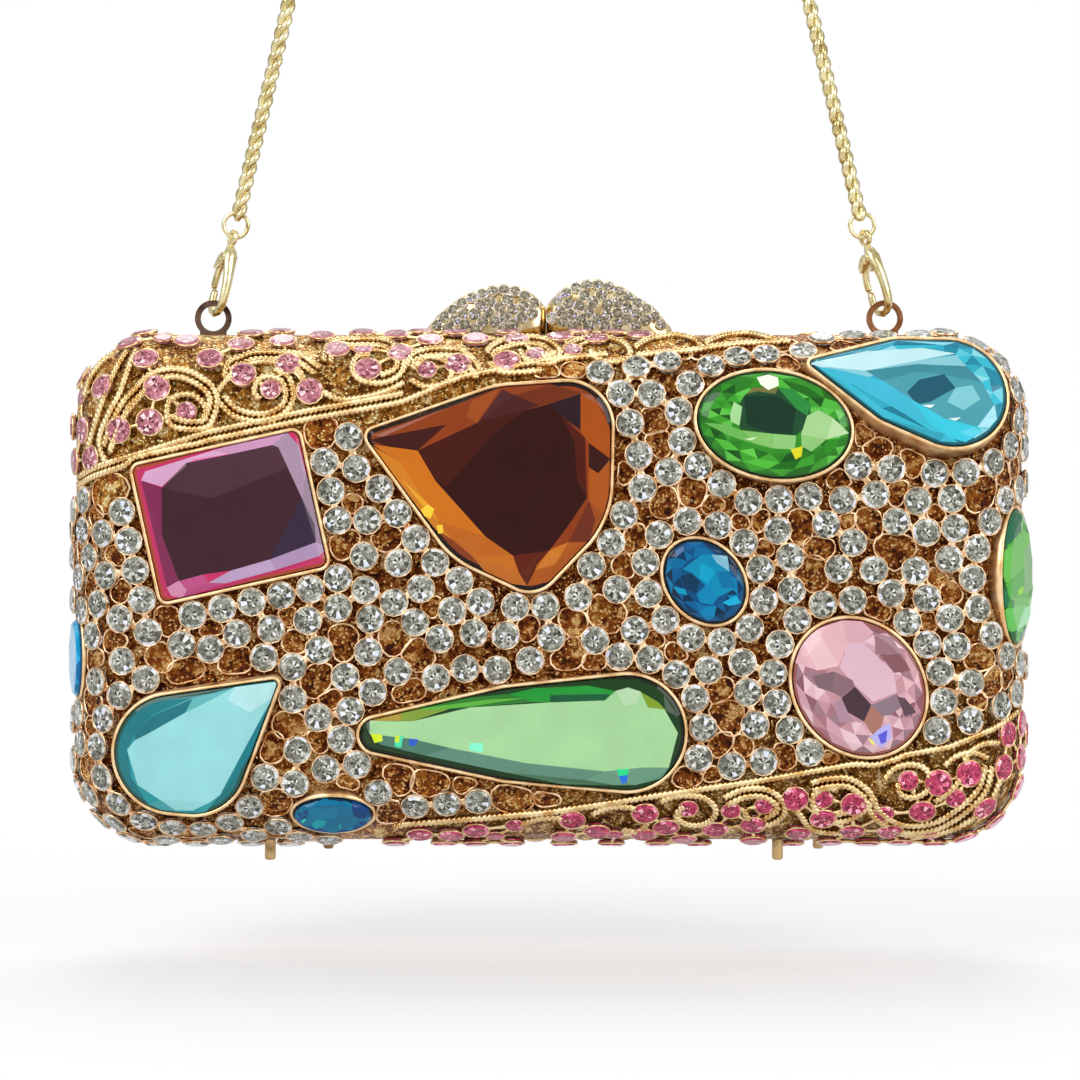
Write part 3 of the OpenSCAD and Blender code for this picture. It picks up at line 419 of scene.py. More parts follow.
def edge_spot(share, angle):
    """A spot on the rounded edge: a share of the way round and an angle from the rim."""
    straight_w, straight_h = case_w - 2 * corner_r, case_h - 2 * corner_r
    arc = math.pi / 2 * corner_r
    s = (share % 1.0) * 2 * (straight_w + straight_h + 2 * arc)
    # Each side's length, start and direction; a corner has its length alone.
    sides = [(straight_w, -straight_w / 2, -case_h / 2, 1, 0), (arc,),
             (straight_h, case_w / 2, -straight_h / 2, 0, 1), (arc,),
             (straight_w, straight_w / 2, case_h / 2, -1, 0), (arc,),
             (straight_h, -case_w / 2, straight_h / 2, 0, -1), (arc,)]
    for i, side in enumerate(sides):
        if s <= side[0] or i == len(sides) - 1:
            break
        s -= side[0]
    if len(side) > 1:
        x, z, out = side[1] + side[3] * s, side[2] + side[4] * s, Vector((side[4], -side[3]))
    else:
        turn = math.radians(-90 + 90 * (i // 2)) + s / corner_r
        out = Vector((math.cos(turn), math.sin(turn)))
        x = (case_w / 2 - corner_r) * (1 if i in (1, 3) else -1) + corner_r * out.x
        z = (case_h / 2 - corner_r) * (1 if i in (3, 5) else -1) + corner_r * out.y
    c, s = math.cos(angle), math.sin(angle)
    inset = edge_w * (1 - c)
    spot = Vector((x - out.x * inset, -rim_y - edge_d * s, case_mid + z - out.y * inset))
    return spot, edge_normal(out, c, s)


def halves(name, bm, finish, nodes=()):
    """The same shape on the front half and, turned about Z, on the rear half."""
    turned = bm.copy()
    bmesh.ops.rotate(turned, cent=(0, 0, 0), matrix=Matrix.Rotation(math.pi, 3, "Z"),
                     verts=turned.verts)
    for half, shape in (("front_", bm), ("rear_", turned)):
        finished(half + name, shape, finish, half + "case", [half + n for n in nodes])


def standing(spot, normal, roll=0.0, size=1.0):
    """Places a shape that was made standing on the ground on a spot of the surface."""
    turn = Vector((0, 0, 1)).rotation_difference(normal).to_matrix().to_4x4()
    return (Matrix.Translation(spot) @ turn @ Matrix.Rotation(roll, 4, "Z")
            @ Matrix.Scale(size, 4))


# Castings
# Gold-plated zinc, rough between the stones: a ground full of gold grains,
# whose dark brown is painted shade and dark reflection between the stones. It
# is more golden in the two slanting filigree bands, and the upper band is
# painted brighter than the lower one, as painted light.
band_slant, band_from, band_full = 0.28, 37, 45


def glitter(name, scale, field, band):
    """Sparkling cast gold: red-brown in the field's openings, its dark brown painted shade, golden
    in the bands, the upper band painted brighter as painted light.
    """
    made, tree, shader, place = new_material(name, 0.7, 0.36)
    cells = add_node(tree, "ShaderNodeTexVoronoi", {"Vector": place, "Scale": scale})
    flakes = add_node(tree, "ShaderNodeTexVoronoi", {"Vector": place, "Scale": scale * 2.7})
    shade = add_node(tree, "ShaderNodeSeparateColor", {"Color": cells.outputs["Color"]})
    spark = add_node(tree, "ShaderNodeSeparateColor", {"Color": flakes.outputs["Color"]})
    ground = maths(tree, "MULTIPLY", shade.outputs["Red"], noise(tree, place, 170.0, 4.0))
    clumps = mapped(tree, noise(tree, place, 260.0, 1.0), 0.54, 0.66, 0.0, 0.85)
    grains = maths(tree, "MULTIPLY_ADD", clumps, shade.outputs["Blue"], ground)
    level = maths(tree, "ADD", grains, maths(tree, "POWER", spark.outputs["Green"], 5.0))
    # The darkest browns of each ramp are painted shade and dark reflection; the pale tones are gold
    # grains.
    brown, golden = (ramp(tree, level, list(zip((0.05, 0.28, 0.6, 0.95), codes)))
                     for codes in (field, band))
    # The bands slant down to the right on the front, and the other way at the back.
    axes = add_node(tree, "ShaderNodeSeparateXYZ", {"Vector": place}).outputs
    across = maths(tree, "MULTIPLY", axes["X"], maths(tree, "SIGN", axes["Y"]))
    slanted = maths(tree, "MULTIPLY_ADD", across, band_slant, axes["Z"])
    height = maths(tree, "SUBTRACT", slanted, case_mid * MM)
    in_band = mapped(tree, maths(tree, "ABSOLUTE", height), band_from * MM, band_full * MM)
    # The upper band is painted up to half again as bright as the lower one: painted light from
    # above.
    painted_light_level = mapped(tree, height, -band_full * MM, band_full * MM, 0.95, 1.5)
    bright = add_node(tree, "ShaderNodeVectorMath", {0: golden, "Scale": painted_light_level}, operation="SCALE")
    tint = add_node(tree, "ShaderNodeMix", {0: in_band, 6: brown, 7: bright.outputs["Vector"]},
                    data_type="RGBA")
    fill(shader, {"Base Color": tint.outputs[2]})
    relief = maths(tree, "ADD", cells.outputs["Distance"], flakes.outputs["Distance"])
    bumped(tree, shader, relief, 1.0, 0.0009)
    return made


dress(glitter("casting_glitter", 780.0, ("3c1206", "8a4212", "c27a2a", "f6d092"),
              ("4e2608", "8f5c1c", "c08c3c", "f4dca4")), "front_casting", "rear_casting")

# Frames, hinge and feet
# Polished gold-plated plates that meet when the case is shut, knuckles on a
# steel pin under them, and four pegs plated a darker brown gold that the case
# stands on.
dress(plated("polished_frame_plate", "f6d9a6", "ebc58a", 0.16, patch=90.0, depth=0.05),
      "front_frame", "rear_frame", "front_knuckles", "rear_knuckles")
# The pegs are a darker brown gold than the frames.
dress(plated("darker_peg_plate", "c8a878", "806040", 0.3, depth=0.3), "front_feet", "rear_feet")
dress(plated("rose_gold_plate", "fbe2b8", "dfae74", 0.2), "tab_rivets")
dress(spring_steel, "hinge_pin")

# Linings
# Champagne satin glued over a thin tray in each half.
satin, tree, shader, place = new_material("champagne_satin", 0.0, 0.42)
mottle = ramp(tree, noise(tree, place, 60.0, 4.0), [(0.3, "bfa578"), (0.7, "d0b98a")])
fill(shader, {"Base Color": mottle, "Sheen Weight": 0.6})
threads = add_node(tree, "ShaderNodeTexWave", {"Vector": place, "Scale": 900.0, "Distortion": 1.5})
bumped(tree, shader, threads.outputs["Fac"], 0.25, 0.0002)
dress(satin, "front_lining", "rear_lining")

# Large crystals
# Eleven cut glass stones on each half, foil-backed. Each facet carries a
# painted colour: the stone's own colour, with dark and pale facets as painted
# reflections and small bright patches as painted glints. They are held by
# bezels, and the ring just inside each bezel is painted darker, as painted
# shade under its lip. Facets are given by their corners in an enlarged part of
# the view.
seat_gap, side_gap, bezel_t, bezel_h, crown_h = 0.2, 0.15, 0.8, 1.5, 1.5
girdle_drop, bevel_w, table_up, drawn_up = 0.1, 0.75, 0.65 * crown_h, 0.7 * crown_h


def spot(x_share, z_share):
    return x_share * case_w, case_mid + z_share * case_h


def side_spot(angle, z_share, side):
    """A spot at an angle round one side's edge, and the tilt of a crystal there."""
    turn = math.radians(angle)
    x = case_w / 2 - edge_w * (1 - math.cos(turn))
    yaw = math.degrees(math.atan2(edge_d * math.cos(turn), edge_w * math.sin(turn)))
    return (side * x, case_mid + z_share * case_h), (side * yaw, 0, 90)


corner = 0.055
plum_l, plum_w = 34.8, 28.4
crystals = {
    "plum": ([(u * (0.5 - corner * plum_w / plum_l), v * (0.5 - corner), corner)
              for u in (-1, 1) for v in (-1, 1)], plum_l, plum_w,
             spot(-0.3275, 0.139), (0, 0, 12.5)),
    "amber": ([(-0.464, -0.063, 0.039), (0.236, 0.288, 0.212), (0.278, -0.357, 0.143),
               (0.117, -0.033, 0.449)], 51.4, 43.4, spot(-0.061, 0.238), (0, 0, -20)),
    "green_oval": ([], 31.6, 21.8, spot(0.23, 0.312), (0, 6, -9)),
    "aqua_pear": ([(-0.478, 0, 0.035), (-0.03, 0, 0.4), (0.21, 0, 0.49)], 41.5, 24,
                  spot(0.368, 0.389), (6, 20, -13)),
    "blue_oval": ([], 18.8, 14.8, spot(0.159, 0.014), (0, 0, -48)),
    "rose": ([], 29.6, 25.4, spot(0.317, -0.189), (0, 0, -50)),
    "green_drop": ([(-0.449, 0, 0.144), (-0.036, 0, 0.398), (0.324, 0, 0.496)], 66.4, 23.6,
                   spot(-0.028, -0.277), (0, -2, 0.5)),
    "teal_pear": ([(0.462, 0.019, 0.034), (-0.186, 0.044, 0.458), (-0.132, -0.093, 0.409)],
                  38.5, 26.4, spot(-0.352, -0.282), (-1, -6, 36.5)),
    "bottom_blue": ([], 16.4, 10.8, spot(-0.2235, -0.436), (0, -45, 0)),
    "side_blue": ([], 16.4, 10.8, *side_spot(24, -0.137, -1)),
    "side_green": ([], 28.4, 18, *side_spot(34, 0.022, 1)),
}
lets_in = {"side_green": 1.4, "aqua_pear": 0.9, "bottom_blue": 1.4, "side_blue": 1.4}


def reach(s, t):
    """How far an outline reaches in direction t, and the point where it does."""
    discs, l, w = s
    c, d = math.cos(t), math.sin(t)
    if not discs:
        far = math.hypot(l / 2 * c, w / 2 * d)
        return far, ((l / 2) ** 2 * c / far, (w / 2) ** 2 * d / far)
    far, a, b, r = max((a * l * c + b * w * d + r * w, a * l, b * w, r * w) for a, b, r in discs)
    return far, (a + r * c, b + r * d)


def outline(s, offset, steps=48):
    """Points round an outline that is moved outward."""
    ring = []
    for k in range(steps):
        t = (k + 0.5) * 2 * math.pi / steps
        p = reach(s, t)[1]
        ring.append((p[0] + offset * math.cos(t), p[1] + offset * math.sin(t)))
    return ring


def from_edge(g, u, v):
    """How far a spot in the crystal's plane lies outside its outline."""
    return max(u * math.cos(t) + v * math.sin(t) - far for t, far in g["reaches"])


def in_shell(p):
    return inset_at(p.x, p.z) > 0 and -p.y < depth_at(p.x, p.z)


def to_skin(p, n):
    """How far along n the shell's surface lies from p."""
    low, high = -edge_w, edge_w
    for _ in range(12):
        mid = (low + high) / 2
        if in_shell(p + mid * n):
            low = mid
        else:
            high = mid
    return (low + high) / 2


def seated(discs, l, w, at, tilt, let_in):
    """A crystal's outline with the directions along, across and out of its plane, and its seat."""
    yaw, pitch, roll = (math.radians(a) for a in tilt)
    n = Vector((math.sin(yaw) * math.cos(pitch), -math.cos(yaw) * math.cos(pitch),
                math.sin(pitch)))
    a = Vector((math.cos(yaw), math.sin(yaw), 0))
    b = n.cross(a)
    along = a * math.cos(roll) + b * math.sin(roll)
    across = b * math.cos(roll) - a * math.sin(roll)
    middle = surface(*at)
    s = (discs, l, w)
    seat = seat_gap + max(to_skin(middle + k * (q[0] * along + q[1] * across), n)
                          for q in outline(s, bezel_t, 24) for k in (0, 0.35, 0.7, 1))
    turns = [k * math.pi / 16 for k in range(32)]
    return {"shape": s, "along": along, "across": across, "out": n, "middle": middle,
            "seat": seat - let_in, "reaches": [(t, reach(s, t)[0]) for t in turns]}


gems = {name: seated(*s, lets_in.get(name, 0)) for name, s in crystals.items()}


def on_gem(g, u, v, up):
    return g["middle"] + u * g["along"] + v * g["across"] + (g["seat"] + up) * g["out"]


def seen_on(g, px, py):
    """The spot in a crystal's plane that this pixel of the view shows."""
    eye = Vector((view_x, -view_distance, view_z))
    ray = Vector((view_x + (px - view_size / 2) * view_scale, 0,
                  view_z - (py - view_size / 2) * view_scale)) - eye
    plane = on_gem(g, 0, 0, bezel_h + drawn_up)
    p = eye + ray * ((plane - eye).dot(g["out"]) / ray.dot(g["out"])) - plane
    return p.dot(g["along"]), p.dot(g["across"])


def brilliant(g, rings, count, shades, seed):
    """Rings of kite and triangle facets between the girdle and the table, each painted a shade
    picked at random as painted reflection.
    """
    rnd = random.Random(seed)
    facets, last = [], None
    for k, share in enumerate(rings):
        ring = []
        for i in range(count):
            p = reach(g["shape"], (i + 0.5 * (k % 2)) * 2 * math.pi / count)[1]
            ring.append((p[0] * share, p[1] * share))
        for i in range(count if last else 0):
            j = (i + 1) % count
            a, b = last[i], last[j]
            pair = ([a, b, ring[i]], [b, ring[j], ring[i]]) if k % 2 else (
                [a, ring[j], ring[i]], [a, b, ring[j]])
            facets += [(rnd.choice(shades), facet) for facet in pair]
        last = ring
    return facets + [(shades[0], last)]


def cut_glass(name, drift):
    """Foil-backed glass: each facet has its painted colour, among them painted reflections and
    glints, with a clear glossy skin.
    """
    made, tree, shader, place = new_material(name, 0.0, 0.16)
    facet = add_node(tree, "ShaderNodeAttribute", attribute_name="facet")
    level = mapped(tree, noise(tree, place, 130.0), 0.25, 0.75, 0.9 - drift, 0.9 + drift)
    tint = add_node(tree, "ShaderNodeVectorMath", {0: facet.outputs["Color"], "Scale": level},
                    operation="SCALE")
    fill(shader, {"Base Color": tint.outputs["Vector"], "Specular IOR Level": 0.05,
                  "Coat Weight": 1.0, "Coat IOR": 1.26, "Coat Roughness": 0.02})
    bumped(tree, shader, noise(tree, place, 5000.0), 0.03, 0.00005)
    return made


glass = cut_glass("crystal_painted_facets", 0.06)


def pull_out(bm, drop):
    """Gives an open shape a wall along its edge and closes it below."""
    rim = [e for e in bm.edges if e.is_boundary]
    wall = bmesh.ops.extrude_edge_only(bm, edges=rim)["geom"]
    bmesh.ops.translate(bm, vec=drop, verts=[v for v in wall if isinstance(v, bmesh.types.BMVert)])
    close_ends(bm)
    bmesh.ops.recalc_face_normals(bm, faces=bm.faces)


def cut_crystal(name, girdle, bevel, cut=None, view=None, drawn=()):
    """A closed stone: girdle, bevel, rings of cut facets, then those drawn in a view.

    The view is given by the pixel of its corner and by how much it is enlarged.
    """
    g = gems[name]
    s = g["shape"]
    # The girdle ring inside the bezel is painted darker: painted shade under the bezel's lip.
    plan = [(girdle, outline(s, -side_gap)), (bevel, outline(s, -bevel_w))]
    if cut:
        plan += brilliant(g, *cut)
    for shade, corners in drawn:
        x0, y0, scale = view
        plan.append((shade, [seen_on(g, x0 + x / scale, y0 + y / scale) for x, y in corners]))
    points, faces = [], []
    for _, polygon in plan:
        corners = [Vector(p) for p in polygon]
        if sum(p.cross(q) for p, q in zip(corners, corners[1:] + corners[:1])) < 0:
            corners.reverse()
        faces.append(list(range(len(points), len(points) + len(corners))))
        points += corners
    verts, _, tris, _, _, inside = geometry.delaunay_2d_cdt(points, [], faces, 1, 1e-4)
    bm = bmesh.new()
    paint = bm.faces.layers.float_color.new("facet")
    slope = min(0.16 * s[2] / 2, 2.0)
    made = []
    for v in verts:
        rise = min(max(-from_edge(g, v.x, v.y), 0) / slope, 1)
        up = bezel_h - girdle_drop + (table_up + girdle_drop) * rise
        made.append(bm.verts.new(on_gem(g, v.x, v.y, up)))
    # Where facets overlap, the last one in the plan shows.
    for tri, owners in zip(tris, inside):
        if 0 in owners:
            face = bm.faces.new([made[i] for i in tri])
            face[paint] = (*colour(plan[max(owners)][0]), 1.0)
    bmesh.ops.delete(bm, geom=[v for v in bm.verts if not v.link_faces], context="VERTS")
    bmesh.ops.recalc_face_normals(bm, faces=bm.faces)
    pull_out(bm, (girdle_drop - bezel_h) * g["out"])
    halves(name + "_crystal", bm, glass, [name + "_crystal"])


# In these tables every facet colour is painted: dark and pale facets are painted reflections, the
# small bright ones painted glints.
cut_crystal("plum", "a8492c", "c03262", view=(120, 415, 3.6), drawn=[
    ("c22f63", [(60, 225), (92, 190), (575, 48), (625, 65), (662, 110), (752, 478), (722, 515),
                (215, 672), (172, 655), (150, 610)]),
    ("7c2a50", [(75, 235), (150, 262), (150, 430), (212, 598), (168, 622)]),
    ("d4a2c6", [(90, 203), (330, 128), (400, 140), (238, 172), (150, 258), (75, 235)]),
    ("c68fb6", [(330, 128), (560, 58), (600, 62), (548, 108), (400, 140)]),
    # A painted highlight.
    ("dc6ba2", [(238, 184), (262, 160), (400, 138), (380, 154)]),
    ("a58ba2", [(600, 62), (642, 110), (668, 210), (655, 300), (570, 116), (548, 108)]),
    ("8d6f86", [(668, 210), (745, 478), (705, 458), (700, 395), (655, 300)]),
    ("a98cb0", [(705, 458), (745, 478), (716, 508), (560, 558), (540, 520)]),
    ("b79bc0", [(540, 520), (560, 558), (380, 606), (318, 604), (400, 560)]),
    ("bd4f84", [(318, 604), (380, 606), (232, 655), (212, 598), (300, 574)]),
    ("d58cae", [(168, 622), (212, 596), (240, 632), (222, 660), (184, 652)]),
    # The table and the two patches after it are painted dark: a painted dark reflection.
    ("3e2129", [(150, 262), (238, 172), (400, 140), (548, 108), (570, 116), (655, 300), (700, 395),
                (705, 458), (540, 520), (400, 560), (300, 574), (212, 598), (150, 430)]),
    ("4b2d39", [(150, 262), (238, 172), (400, 140), (548, 108), (570, 116), (600, 190),
                (330, 300)]),
    ("33203a", [(655, 300), (700, 395), (705, 458), (540, 520), (600, 400)]),
])

cut_crystal("amber", "1c0c0a", "8a3a12", view=(355, 370, 3.6), drawn=[
    ("8b3b14", [(60, 262), (70, 235), (300, 150), (520, 62), (700, 50), (815, 80), (700, 122),
                (440, 190), (225, 290)]),
    ("3d1511", [(52, 252), (100, 240), (330, 196), (225, 290), (140, 282)]),
    ("9c4a1c", [(420, 112), (520, 66), (440, 190), (400, 170)]),
    ("4b1d1e", [(430, 205), (530, 68), (575, 90), (665, 128)]),
    ("6e2c10", [(575, 90), (700, 52), (815, 80), (700, 122), (665, 128)]),
    ("2b151d", [(700, 122), (812, 84), (812, 216), (760, 180)]),
    ("a34c10", [(812, 84), (870, 120), (915, 200), (935, 300), (920, 320), (842, 262), (812, 216)]),
    ("35100a", [(842, 262), (920, 320), (876, 372), (842, 350)]),
    ("aa5212", [(920, 320), (935, 300), (930, 420), (900, 520), (842, 470), (842, 350),
                (876, 372)]),
    ("6b2709", [(842, 470), (866, 540), (842, 620), (768, 620)]),
    ("9a4810", [(842, 470), (900, 520), (860, 630), (842, 620), (866, 540)]),
    ("a95311", [(768, 620), (842, 620), (860, 630), (780, 722), (690, 765), (620, 778),
                (672, 655)]),
    ("c27227", [(700, 650), (768, 620), (720, 700), (650, 720)]),
    ("5d1d08", [(568, 668), (700, 650), (655, 700), (618, 776), (590, 730)]),
    ("bf6a20", [(420, 668), (568, 668), (590, 730), (618, 776), (540, 768), (470, 730)]),
    ("b8611a", [(300, 545), (470, 600), (568, 668), (420, 668), (350, 610)]),
    ("d07d1a", [(60, 272), (160, 330), (300, 545), (350, 610), (290, 575), (230, 500)]),
    ("c86e16", [(62, 268), (225, 290), (290, 400), (380, 500), (470, 600), (300, 545), (160, 330)]),
    ("e9a226", [(170, 395), (235, 480), (300, 545), (262, 480)]),
    # Two painted glints.
    ("ffd23c", [(236, 502), (262, 484), (285, 500), (272, 535), (248, 525)]),
    ("ffd23c", [(292, 560), (315, 556), (318, 586), (300, 590)]),
    ("300a06", [(225, 290), (440, 190), (700, 122), (760, 180), (828, 245), (835, 460), (768, 560),
                (700, 650), (568, 668), (470, 600), (290, 400)]),
    ("431207", [(225, 290), (440, 190), (620, 142), (500, 230), (330, 420), (290, 400)]),
    ("4d1608", [(740, 160), (828, 245), (835, 460), (800, 400), (790, 260)]),
])

greens = ["2f8a22", "1f6a1c", "3c9a2c", "4db43a", "175218", "5cc048", "2a7a20"]
cut_crystal("green_oval", "1c4a1a", "2c8422",
            ([0.97, 0.86, 0.72, 0.56], 22, greens, 4), (685, 360, 3.6), [
    ("1d4a2c", [(176, 190), (212, 130), (245, 98), (390, 104), (455, 160), (440, 235), (400, 272),
                (320, 266), (200, 250)]),
    ("123524", [(212, 130), (330, 128), (400, 175), (385, 268), (290, 260), (225, 235)]),
    ("74713c", [(222, 122), (245, 98), (335, 100), (325, 122), (262, 112)]),
    ("2c8a3c", [(335, 100), (390, 104), (455, 160), (440, 200), (400, 175)]),
    ("a2cf8c", [(440, 200), (482, 180), (532, 208), (510, 285), (418, 268)]),
    ("b9dca4", [(532, 208), (592, 262), (552, 275), (510, 285)]),
    ("8cc474", [(418, 268), (510, 285), (455, 330), (420, 310)]),
    ("7fba64", [(205, 254), (320, 266), (318, 318), (246, 300)]),
    ("8cc676", [(320, 266), (400, 272), (396, 322), (318, 318)]),
    ("a4d894", [(162, 196), (176, 150), (206, 168), (196, 236), (166, 222)]),
    ("69b455", [(70, 225), (150, 232), (205, 254), (240, 300), (150, 268)]),
    # Painted glints.
    ("eefae0", [(258, 62), (300, 50), (335, 62), (338, 92), (300, 108), (272, 88)]),
    ("dcd626", [(380, 322), (424, 310), (420, 346), (398, 358)]),
    ("c8e8b0", [(212, 284), (262, 276), (240, 290)]),
])

teals = ["2fa4bc", "38b8d0", "2488a2", "5cc4d4", "1c7a94", "8ad4e0"]
cut_crystal("aqua_pear", "1d5a66", "2a98b0",
            ([0.96, 0.84, 0.68], 20, teals, 9), (800, 335, 3.6), [
    ("bfe6ec", [(38, 95), (240, 58), (440, 46), (560, 66), (450, 86), (235, 128), (80, 112)]),
    ("86c6d2", [(80, 112), (235, 128), (450, 86), (562, 72), (600, 112), (420, 104), (250, 150)]),
    ("3c8796", [(235, 128), (420, 104), (600, 112), (656, 170), (560, 150), (300, 165)]),
    ("4a9aa8", [(300, 165), (420, 130), (560, 150), (656, 170), (700, 250), (640, 330), (520, 300),
                (400, 230)]),
    ("1c566a", [(385, 205), (430, 160), (520, 140), (560, 190), (470, 240), (420, 250)]),
    ("7cc4cc", [(560, 190), (620, 180), (650, 230), (590, 270), (530, 240)]),
    ("3fb4cf", [(80, 112), (250, 150), (300, 165), (400, 230), (470, 320), (380, 285), (240, 205)]),
    ("38c4dc", [(470, 320), (400, 230), (520, 300), (640, 330), (660, 345), (600, 380),
                (540, 368)]),
    ("9ad8e6", [(640, 330), (700, 250), (712, 300), (680, 330)]),
    # Two painted glints.
    ("e8fafa", [(440, 252), (486, 250), (470, 262)]),
    ("e8fafa", [(535, 300), (580, 296), (560, 308)]),
])

blues = ["064e80", "066a9c", "05365c", "087cae", "075a90", "042a48"]
cut_crystal("blue_oval", "082a40", "075084",
            ([0.96, 0.82, 0.6], 14, blues, 2), (650, 530, 4), [
    ("0688b0", [(132, 156), (205, 100), (245, 98), (318, 166), (345, 232), (270, 270), (205, 205),
                (165, 172)]),
    ("0c9cc4", [(205, 130), (262, 165), (232, 215), (195, 190)]),
    ("0670a0", [(262, 165), (318, 166), (345, 232), (290, 235)]),
    ("063656", [(124, 186), (166, 170), (200, 206), (186, 256), (140, 236)]),
    ("7eb6ce", [(246, 98), (310, 104), (318, 166), (268, 132)]),
    ("14a8d2", [(290, 290), (345, 262), (366, 292), (318, 304)]),
    ("0c94bc", [(92, 226), (140, 236), (150, 262), (112, 252)]),
    ("0680b0", [(186, 256), (232, 215), (270, 270), (250, 300), (200, 290)]),
])

roses = ["c2909a", "a8727e", "dcb0b8", "8c5c68", "d0a0ae", "e6c2cc", "9c7884"]
cut_crystal("rose", "9a5a52", "c08890",
            ([0.96, 0.85, 0.7, 0.52], 20, roses, 6), (780, 605, 4), [
    ("e2b2ba", [(62, 232), (92, 150), (150, 96), (250, 62), (272, 152), (236, 244), (150, 262)]),
    ("e8c0c6", [(92, 150), (150, 96), (236, 244), (150, 262)]),
    ("d8a8b4", [(250, 62), (330, 66), (376, 110), (330, 150), (272, 152)]),
    ("dcb6c6", [(272, 155), (330, 150), (384, 200), (456, 272), (468, 350), (372, 386), (300, 322),
                (238, 250)]),
    ("9a727a", [(376, 110), (452, 130), (486, 196), (400, 196), (384, 200)]),
    ("86585f", [(400, 198), (486, 196), (524, 262), (456, 272)]),
    ("8a6872", [(212, 350), (216, 266), (290, 300), (300, 324), (246, 370)]),
    ("7c6068", [(130, 284), (216, 266), (212, 350), (150, 330)]),
    ("46303a", [(246, 372), (300, 326), (366, 400), (336, 466), (272, 430)]),
    ("8a7480", [(366, 400), (468, 356), (500, 400), (440, 440), (400, 446)]),
    ("a87468", [(336, 466), (366, 402), (416, 448), (404, 490), (370, 520)]),
    ("5e4650", [(468, 366), (500, 372), (546, 430), (500, 446)]),
    # Painted flashes of coloured light.
    ("b8b2ee", [(360, 528), (404, 490), (440, 472), (448, 528), (410, 572), (386, 560)]),
    ("5a5ad8", [(392, 520), (430, 500), (424, 548), (404, 556)]),
    ("f0e27a", [(352, 532), (372, 540), (386, 562), (366, 556)]),
    ("b08a9c", [(212, 400), (246, 372), (272, 430), (300, 470), (240, 470)]),
])

cut_crystal("green_drop", "15240f", "2c4426", view=(350, 670, 4), drawn=[
    ("1a3d1c", [(52, 235), (75, 195), (230, 150), (700, 70), (1000, 38), (1150, 40), (1250, 90),
                (1320, 200), (1318, 300), (1282, 400), (1220, 460), (1080, 490), (800, 465),
                (380, 378), (110, 306)]),
    ("7f9c3a", [(82, 196), (230, 156), (415, 150), (250, 205), (78, 206)]),
    ("a8943c", [(86, 200), (205, 172), (205, 203), (80, 205)]),
    ("2c7a2c", [(230, 154), (480, 112), (640, 96), (730, 128), (480, 150), (415, 156)]),
    ("5cae3c", [(260, 158), (560, 118), (700, 112), (480, 146), (330, 160)]),
    ("1f9434", [(640, 96), (740, 74), (950, 62), (1060, 84), (1020, 122), (800, 130), (730, 128)]),
    ("0b5a34", [(800, 100), (1040, 96), (1020, 122), (800, 130)]),
    ("7c9c28", [(1160, 86), (1232, 128), (1262, 160), (1192, 150)]),
    ("a5d59b", [(78, 206), (250, 205), (480, 150), (800, 130), (1020, 122), (1062, 84), (1112, 70),
                (1162, 86), (1192, 150), (1258, 158), (1312, 252), (1276, 392), (1170, 390),
                (1020, 406), (700, 372), (400, 312), (250, 276), (78, 256)]),
    ("b8dcb0", [(1062, 84), (1112, 70), (1162, 86), (1150, 130), (1098, 145)]),
    ("4e7c69", [(78, 256), (250, 276), (400, 312), (300, 342), (120, 298)]),
    ("5f8c78", [(400, 312), (700, 372), (1020, 406), (940, 440), (620, 410), (300, 342)]),
    ("4a7558", [(620, 410), (940, 440), (1060, 462), (850, 458)]),
    ("6a9a80", [(1020, 406), (1170, 390), (1276, 392), (1246, 436), (1140, 462), (1060, 462),
                (940, 440)]),
    # Painted glints of coloured fire.
    ("d8f02c", [(82, 256), (128, 258), (130, 284), (98, 292)]),
    ("48e0a8", [(180, 262), (214, 264), (204, 312), (178, 306)]),
    ("c8e83c", [(180, 262), (200, 263), (196, 290), (180, 290)]),
    ("3060cc", [(236, 274), (274, 278), (258, 306), (236, 302)]),
    ("86f4cc", [(480, 292), (534, 292), (530, 330), (478, 322)]),
    ("26dc8c", [(1066, 396), (1116, 396), (1112, 420), (1076, 424)]),
    ("2470e0", [(1076, 424), (1112, 420), (1106, 452), (1088, 456)]),
])

cut_crystal("teal_pear", "2c5a50", "237c84", view=(110, 675, 4), drawn=[
    ("2a9aa2", [(72, 300), (96, 240), (170, 160), (330, 92), (520, 46), (670, 28), (676, 70),
                (610, 240), (480, 440), (372, 560), (262, 570), (150, 520), (84, 410)]),
    ("1e7480", [(100, 236), (170, 164), (330, 96), (300, 150), (150, 236), (98, 262)]),
    ("64b8bc", [(330, 96), (500, 50), (420, 92), (300, 152)]),
    ("18808c", [(664, 92), (610, 240), (500, 420), (440, 480), (520, 330), (600, 180)]),
    ("38a4ac", [(440, 480), (500, 420), (372, 560), (330, 566), (400, 510)]),
    ("4aa8b0", [(150, 520), (200, 500), (260, 545), (330, 566), (262, 572)]),
    ("97dadd", [(68, 300), (98, 262), (150, 236), (300, 152), (420, 92), (500, 50), (666, 30),
                (650, 92), (600, 180), (520, 330), (440, 480), (400, 510), (330, 545), (260, 545),
                (200, 500), (110, 440)]),
    ("b4e4e6", [(500, 50), (666, 30), (650, 92), (560, 150), (470, 100)]),
])

